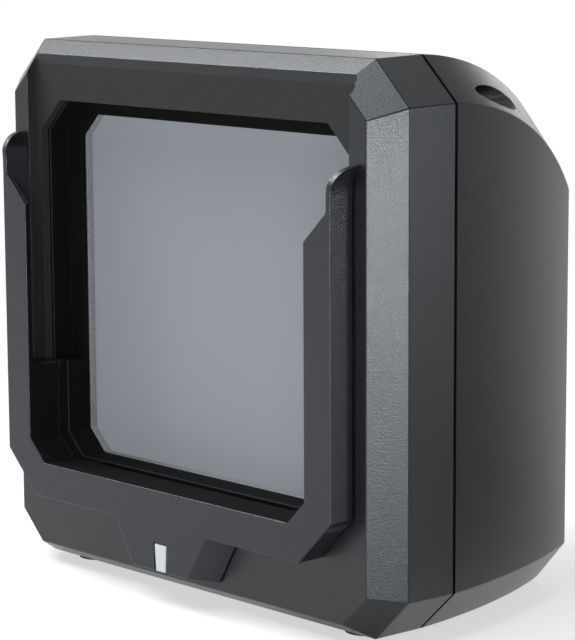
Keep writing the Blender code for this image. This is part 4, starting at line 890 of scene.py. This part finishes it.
def floor_material():
    """A pale floor that keeps the reader's shadow near it and is plain white further out."""
    finish = Finish("Studio floor", colours().backdrop, roughness=0.8)
    from_centre = (finish.axis(0) ** 2 + finish.axis(1) ** 2) ** 0.5
    open_floor = from_centre.step(0.12, 0.2)
    in_front = (0 - finish.axis(1) / from_centre).step(0.2, 0.6)
    beside = (1 - from_centre.step(0.1, 0.125)) * (1 - in_front)
    # How white the floor is near the reader, to the camera and to gloss, and how that changes
    near_seen, near_gloss, open_gloss, front_loss, beside_gloss = 0.6, 0.5, 0.5, 0.7, 0.1
    shown = background_rays(
        finish.tree,
        near_seen + from_centre.step(0.12, 0.45) * (1 - near_seen),
        near_gloss + open_floor * (open_gloss - in_front * front_loss) + beside * beside_gloss,
    )
    white = finish.node("ShaderNodeEmission", sockets={"Color": WHITE, "Strength": 1.0})
    grey = finish.node("ShaderNodeEmission", sockets={"Color": WHITE, "Strength": 0.2})
    card_share = white_share(finish.tree, finish.place) + beside
    card_white = background_rays(finish.tree, sent_on=card_share)
    card = finish.node("ShaderNodeMixShader", sockets={0: card_white, 1: grey, 2: white})
    plain = Value(finish.tree, finish.shader.outputs[0])
    mix = finish.node("ShaderNodeMixShader", sockets={0: shown, 1: plain, 2: card})
    finish.tree.links.new(mix.socket, finish.tree.nodes["Material Output"].inputs["Surface"])
    return finish.material


def add_floor():
    deselect()
    floor_width = 6
    bpy.ops.mesh.primitive_plane_add(size=floor_width)
    floor = bpy.context.object
    floor.name = "studio_floor"
    floor.data.materials.append(floor_material())


class READER_OT_stage(bpy.types.Operator):
    """Add the camera, the soft lights, the world and the floor"""
    bl_idname = "reader.stage"
    bl_label = "Stage"

    def execute(self, context):
        context.scene.view_settings.view_transform = "Standard"
        set_camera()
        set_world()
        add_floor()
        for settings in SOFTBOXES:
            softbox(*settings)
        return {"FINISHED"}


class READER_OT_frame_finishes(bpy.types.Operator):
    """Give every frame node the finish that its material slot names"""
    bl_idname = "reader.frame_finishes"
    bl_label = "Frame finishes"

    def execute(self, context):
        FINISHES.update(make_finishes())
        slots = {row["node"]: row["material_slot"] for row in frame["record"]["subparts"]}
        for name, part in NODES.items():
            part.data.materials.clear()
            part.data.materials.append(FINISHES[slots[name]])
        return {"FINISHED"}


# Housing

def beyond_seam(front, rear):
    """A slab that trims a shell to its seam."""
    return block("seam", (-BODY_HEIGHT, BODY_HEIGHT), (front, rear), (-BODY_HEIGHT, BODY_HEIGHT * 2))


class READER_OT_front_shell(bpy.types.Operator):
    """Model the front shell: an octagonal box with a bevelled front, pocket and recess opening"""
    bl_idname = "reader.front_shell"
    bl_label = "Front shell"

    def execute(self, context):
        sizes = housing()
        ridge = FACE + sizes.bevel
        pocket_floor = FACE + window().pocket_depth
        inside_front = pocket_floor + sizes.wall
        depths = (FACE, ridge, SEAM + OVERRUN)
        shell = loft("front_shell_moulding", [at_depth(front_section(depth), depth) for depth in depths])
        round_edges(shell, sizes.edge_round)
        depths = (inside_front, ridge + sizes.wall / 2, SEAM + OVERRUN)
        rings = [at_depth(front_section(depth - sizes.wall / 2, sizes.wall), depth) for depth in depths]
        slot = slot_half()
        floor = guide().ledge_height - guide().ledge_thickness - GAP
        skirt_end = FACE + guide().skirt_reach
        cut(
            shell,
            loft("inside", rings),
            block("pocket", (-slot, slot), (-OVERRUN, pocket_floor), (floor, BODY_HEIGHT + OVERRUN)),
            prism("skirt_seat", window_outline(guide().wall + GAP), -OVERRUN, skirt_end + GAP),
            prism("opening", recess_outline(GAP), -OVERRUN, inside_front + OVERRUN),
            block(
                "floor_slot",
                (-window().slot_half, window().slot_half),
                (skirt_end, inside_front + OVERRUN),
                (recess_bottom() - GAP - window().slot_drop, recess_bottom()),
            ),
            beyond_seam(SEAM, SEAM + OVERRUN * 2),
        )
        round_edges(shell, sizes.fine_round, angle=40)
        finished(shell, "housing_plastic", "front_shell")
        # Painted shade: the faces inside the recess get the hood's darker black.
        paint_recess_shade(shell)
        return {"FINISHED"}


class READER_OT_rear_shell(bpy.types.Operator):
    """Model the rear shell: curved in towards the back, with screw wells and socket openings"""
    bl_idname = "reader.rear_shell"
    bl_label = "Rear shell"

    def execute(self, context):
        sizes = housing()
        front = SEAM + sizes.seam_gap
        outside = steps_between(front, BACK, REAR_RINGS)
        depths = [SEAM - OVERRUN] + outside
        shell = loft("rear_shell_moulding", [at_depth(rear_section(depth), depth) for depth in depths])
        round_edges(shell, sizes.edge_round)
        cut(shell, beyond_seam(SEAM - OVERRUN * 2, front))
        inside = [front - OVERRUN] + steps_between(front, BACK - sizes.wall, REAR_RINGS)
        cut(shell, loft("inside", [
            at_depth(rear_section(depth + sizes.wall / 2, sizes.wall), depth) for depth in inside
        ]))
        seat = front + sizes.screw_seat
        tube_radius = sizes.well_radius + sizes.well_wall
        for x, z in case_screw_places():
            tube = depth_rod("tube", x, z, tube_radius, front, BACK - sizes.edge_round)
            limit = loft("limit", [at_depth(rear_section(depth, GAP), depth) for depth in outside])
            join(shell, combine(tube, limit, "INTERSECT"))
            cut(
                shell,
                depth_rod("well", x, z, sizes.well_radius, seat, BACK + OVERRUN),
                depth_rod("hole", x, z, sizes.screw_hole_radius, front - OVERRUN, seat + OVERRUN),
            )
        for name in ("usb_socket", "power_socket"):
            low, high = node_box(name)
            cut(shell, block(
                "socket_opening",
                (low.x - GAP, high.x + GAP),
                (BACK - sizes.wall - OVERRUN, BACK + OVERRUN),
                (low.z - GAP, high.z + GAP),
            ))
        finished(shell, "housing_plastic", "rear_shell")
        return {"FINISHED"}


class READER_OT_feet(bpy.types.Operator):
    """Model one rubber foot with a rounded rim and a cupped sole, and copy it to the four corners"""
    bl_idname = "reader.feet"
    bl_label = "Rubber feet"

    def execute(self, context):
        names = [name for name in NODES if name.startswith("rubber_foot")]
        low, high = node_box(names[0])
        centre = node_centre(names[0])
        radius = (high.x - low.x) / 2
        cup_radius = radius * 0.6
        rim_round = GAP * 0.4
        sides = 64

        def upright(name, bottom, top, radius):
            return rod(name, (centre.x, centre.y, bottom), (centre.x, centre.y, top), radius, sides)

        foot = upright("foot", low.z, high.z, radius)
        cut(foot, upright("cup", low.z - OVERRUN, low.z + GAP, cup_radius))
        round_edges(foot, rim_round, segments=2)
        copy_to_nodes(foot, names, "_moulding", "foot_rubber")
        return {"FINISHED"}


# Document guide

def flare(half_width, top):
    """The rail wall's outline where it leans out towards its top."""
    sizes = guide()
    start = top - sizes.rail_crown - sizes.flare_drop
    return [
        (half_width + arc_sag(height - start, sizes.flare_radius, sizes.flare_radius), height)
        for height in steps_between(start, top, FLARE_STEPS)
    ]


def guide_outline():
    """The guide's U: up the outside of the right rail, down its inside, then the left rail."""
    sizes = guide()
    corner = inset_cut(sizes.corner_cut, sizes.face_width)
    outer = [
        (half_guide() - sizes.corner_cut, sizes.bottom),
        (half_guide(), sizes.bottom + sizes.corner_cut),
    ]
    inner = [
        (slot_half(), sizes.shoulder_height + sizes.shoulder_rise),
        (recess_half(), sizes.shoulder_height),
        (recess_half(), recess_bottom() + corner),
        (recess_half() - corner, recess_bottom()),
    ]
    rail = flare(half_guide(), GUIDE_TOP) + flare(slot_half(), GUIDE_TOP)[::-1]
    return mirrored(outer + rail + inner)


def tab_outline(grow, drop):
    """The light tab: a trapezoid that hangs from the guide's lower bar."""
    sizes = guide()
    top = sizes.bottom + sizes.wall / 2
    return mirrored([
        (sizes.tab_bottom_width / 2 + grow, TAB_BOTTOM + sizes.tab_drop - drop),
        (sizes.tab_top_width / 2 + grow, sizes.bottom - drop),
        (sizes.tab_top_width / 2 + grow, top),
    ])


def light_outline(grow, bottom):
    sizes = guide()
    top = TAB_BOTTOM + sizes.tab_drop + sizes.light_height + grow
    return mirrored([
        (sizes.light_bottom_width / 2 + grow, bottom),
        (sizes.light_top_width / 2 + grow, top),
    ])


def crown_tool(depth):
    """All that lies above the quarter ellipse of the rails' tops."""
    sizes = guide()
    front_height = GUIDE_TOP - sizes.rail_crown
    profile = [(-OVERRUN, front_height)]
    for angle in steps_between(0, math.pi / 2, CROWN_STEPS):
        height = front_height + sizes.rail_crown * math.sin(angle)
        profile.append((depth * (1 - math.cos(angle)), height))
    above = GUIDE_TOP + OVERRUN
    profile += [(depth + OVERRUN, GUIDE_TOP), (depth + OVERRUN, above), (-OVERRUN, above)]
    reach = half_guide() + sizes.flare_radius
    return loft("crown", [[(x, y, z) for y, z in profile] for x in (-reach, reach)])


class READER_OT_document_guide(bpy.types.Operator):
    """Model the document guide: a U-shaped frame with rails, ledges, a skirt and the light's tab"""
    bl_idname = "reader.document_guide"
    bl_label = "Document guide"

    def execute(self, context):
        sizes = guide()
        depth = FACE
        rear = depth - GAP
        made = prism("document_guide_moulding", guide_outline(), 0, rear)
        round_edges(made, sizes.edge_round, segments=4)
        tab_rear = tab_outline(sizes.tab_draft, sizes.tab_drop)
        tab = loft("tab", [at_depth(tab_outline(0, 0), 0), at_depth(tab_rear, rear)])
        round_edges(tab, sizes.edge_round, segments=4)
        join(made, tab)
        slot = slot_half()
        outer_cut = inset_cut(sizes.corner_cut, sizes.wall)
        inner_cut = inset_cut(sizes.corner_cut, sizes.face_width - sizes.wall)
        bottom = sizes.bottom + sizes.wall
        roof = sizes.ledge_height - sizes.ledge_thickness
        inner, inner_bottom = recess_half() + sizes.wall, recess_bottom() - sizes.wall
        skirt_outside = [
            (inner - inner_cut, inner_bottom),
            (inner, inner_bottom + inner_cut),
            (inner, roof),
        ]
        channel = mirrored([
            (slot - outer_cut, bottom),
            (slot, bottom + outer_cut),
            (slot, roof),
            *reversed(skirt_outside),
        ])
        shoulder = sizes.shoulder_height + sizes.shoulder_rise
        cut(
            made,
            block("slot", (-slot, slot), (sizes.plate, depth + OVERRUN), (sizes.ledge_height, shoulder)),
            prism("channel", channel, sizes.plate, depth + OVERRUN),
            crown_tool(depth),
        )
        skirt_cut = inset_cut(sizes.corner_cut, sizes.face_width)
        skirt = mirrored([
            *skirt_outside,
            (slot - GAP, roof),
            (slot - GAP, sizes.ledge_height),
            (recess_half(), sizes.ledge_height),
            (recess_half(), recess_bottom() + skirt_cut),
            (recess_half() - skirt_cut, recess_bottom()),
        ])
        join(made, prism("skirt", skirt, depth - sizes.wall, depth + sizes.skirt_reach))
        notch = light_outline(GAP, TAB_BOTTOM - OVERRUN)
        cut(made, prism("light_notch", notch, -OVERRUN, sizes.plate + GAP))
        finished(made, "guide_plastic", "document_guide")
        # Painted shade: the faces inside the recess get the hood's darker black.
        paint_recess_shade(made)
        return {"FINISHED"}


class READER_OT_status_light(bpy.types.Operator):
    """Model the status light: a milky pipe that fills the notch in the tab"""
    bl_idname = "reader.status_light"
    bl_label = "Status light"

    def execute(self, context):
        high = node_box("status_light_pipe")[1]
        bottom = TAB_BOTTOM + guide().tab_drop
        light = prism("status_light_lens", light_outline(0, bottom), 0, guide().plate + GAP)
        half = guide().light_bottom_width / 3
        join(light, block("stem", (-half, half), (GAP, high.y), (bottom + half, bottom + half * 4)))
        round_edges(light, guide().edge_round)
        finished(light, "light_pipe", "status_light_pipe")
        return {"FINISHED"}


# Scanning window

def node_depths(name):
    return [corner.y for corner in node_box(name)]


class READER_OT_window(bpy.types.Operator):
    """Model the recess behind the guide: the black hood, its foam seal and the tinted glass"""
    bl_idname = "reader.window"
    bl_label = "Scanning window"

    def execute(self, context):
        sizes = window()
        front, rear = node_depths("window_hood")
        flange = rear - sizes.hood_flange
        hood = prism("window_hood_moulding", recess_outline(sizes.hood_wall), front, rear)
        cut(
            hood,
            prism("recess", recess_outline(0), front - OVERRUN, flange),
            prism("window", window_outline(0), flange - OVERRUN, rear + OVERRUN),
        )
        round_edges(hood, sizes.edge_round)
        finished(hood, "black_plastic", "window_hood")
        rounding_end = front + sizes.edge_round
        facing_front = 0.95

        def on_front_edge(centre, normal):
            return centre.y < rounding_end and RUNS_BACK < -normal.y < facing_front

        finish_faces(hood, "guide_plastic", on_front_edge)

        front, rear = node_depths("window_seal")
        seal = prism("window_seal_strip", window_outline(sizes.seal_width), front, rear)
        cut(seal, prism("opening", window_outline(0), front - OVERRUN, rear + OVERRUN))
        round_edges(seal, sizes.edge_round)
        finished(seal, "grey_seal", "window_seal")

        front, rear = node_depths("window_glass")
        glass = prism("window_glass_pane", window_outline(sizes.glass_border), front, rear)
        round_edges(glass, sizes.edge_round)
        finished(glass, "window_glass", "window_glass")
        return {"FINISHED"}


# Small parts at the back

class READER_OT_case_screws(bpy.types.Operator):
    """Model one case screw with a crowned head and a cross recess, and copy it into the four wells"""
    bl_idname = "reader.case_screws"
    bl_label = "Case screws"

    def execute(self, context):
        names = [name for name in NODES if name.startswith("case_screw")]
        low, high = node_box(names[0])
        centre = node_centre(names[0])
        radius = (high.x - low.x) / 2
        head, crown, shank = radius * 0.8, radius * 0.3, radius * 0.5
        arm, half_groove, groove_depth = radius * 0.55, radius * 0.11, head * 0.6
        screw = depth_rod("screw", centre.x, centre.z, radius, high.y - head, high.y)
        round_edges(screw, crown, segments=4)
        join(screw, depth_rod("shank", centre.x, centre.z, shank, low.y, high.y - head / 2))
        for x_reach, z_reach in ((arm, half_groove), (half_groove, arm)):
            cut(screw, block(
                "recess",
                (centre.x - x_reach, centre.x + x_reach),
                (high.y - groove_depth, high.y + OVERRUN),
                (centre.z - z_reach, centre.z + z_reach),
            ))
        copy_to_nodes(screw, names, "_turned", "zinc_steel")
        return {"FINISHED"}


OPERATORS = (
    READER_OT_stage,
    READER_OT_frame_finishes,
    READER_OT_front_shell,
    READER_OT_rear_shell,
    READER_OT_feet,
    READER_OT_document_guide,
    READER_OT_status_light,
    READER_OT_window,
    READER_OT_case_screws,
)
GROUPS = {
    "reader_housing": ReaderHousingSizes,
    "reader_guide": ReaderGuideSizes,
    "reader_window": ReaderWindowSizes,
    "reader_colours": ReaderColours,
}


class READER_PT_panel(bpy.types.Panel):
    """The reader's sizes, colours and making steps"""
    bl_idname = "READER_PT_panel"
    bl_label = "Passport Reader"
    bl_space_type = "VIEW_3D"
    bl_region_type = "UI"
    bl_category = "Reader"

    def draw(self, context):
        for name, group in GROUPS.items():
            box = self.layout.box()
            for key in group.__annotations__:
                label = key.replace("_", " ").capitalize()
                box.prop(getattr(context.scene, name), key, text=label)
        for operator in OPERATORS:
            self.layout.operator(operator.bl_idname)


CLASSES = (*GROUPS.values(), *OPERATORS, READER_PT_panel)


def register():
    for made in CLASSES:
        bpy.utils.register_class(made)
    for name, group in GROUPS.items():
        setattr(bpy.types.Scene, name, PointerProperty(type=group))


def unregister():
    for name in GROUPS:
        delattr(bpy.types.Scene, name)
    for made in reversed(CLASSES):
        bpy.utils.unregister_class(made)


def main():
    register()
    bpy.ops.reader.stage()
    bpy.ops.reader.frame_finishes()
    bpy.ops.reader.front_shell()
    bpy.ops.reader.rear_shell()
    bpy.ops.reader.feet()
    bpy.ops.reader.document_guide()
    bpy.ops.reader.status_light()
    bpy.ops.reader.window()
    bpy.ops.reader.case_screws()


if __name__ == "__main__":
    main()
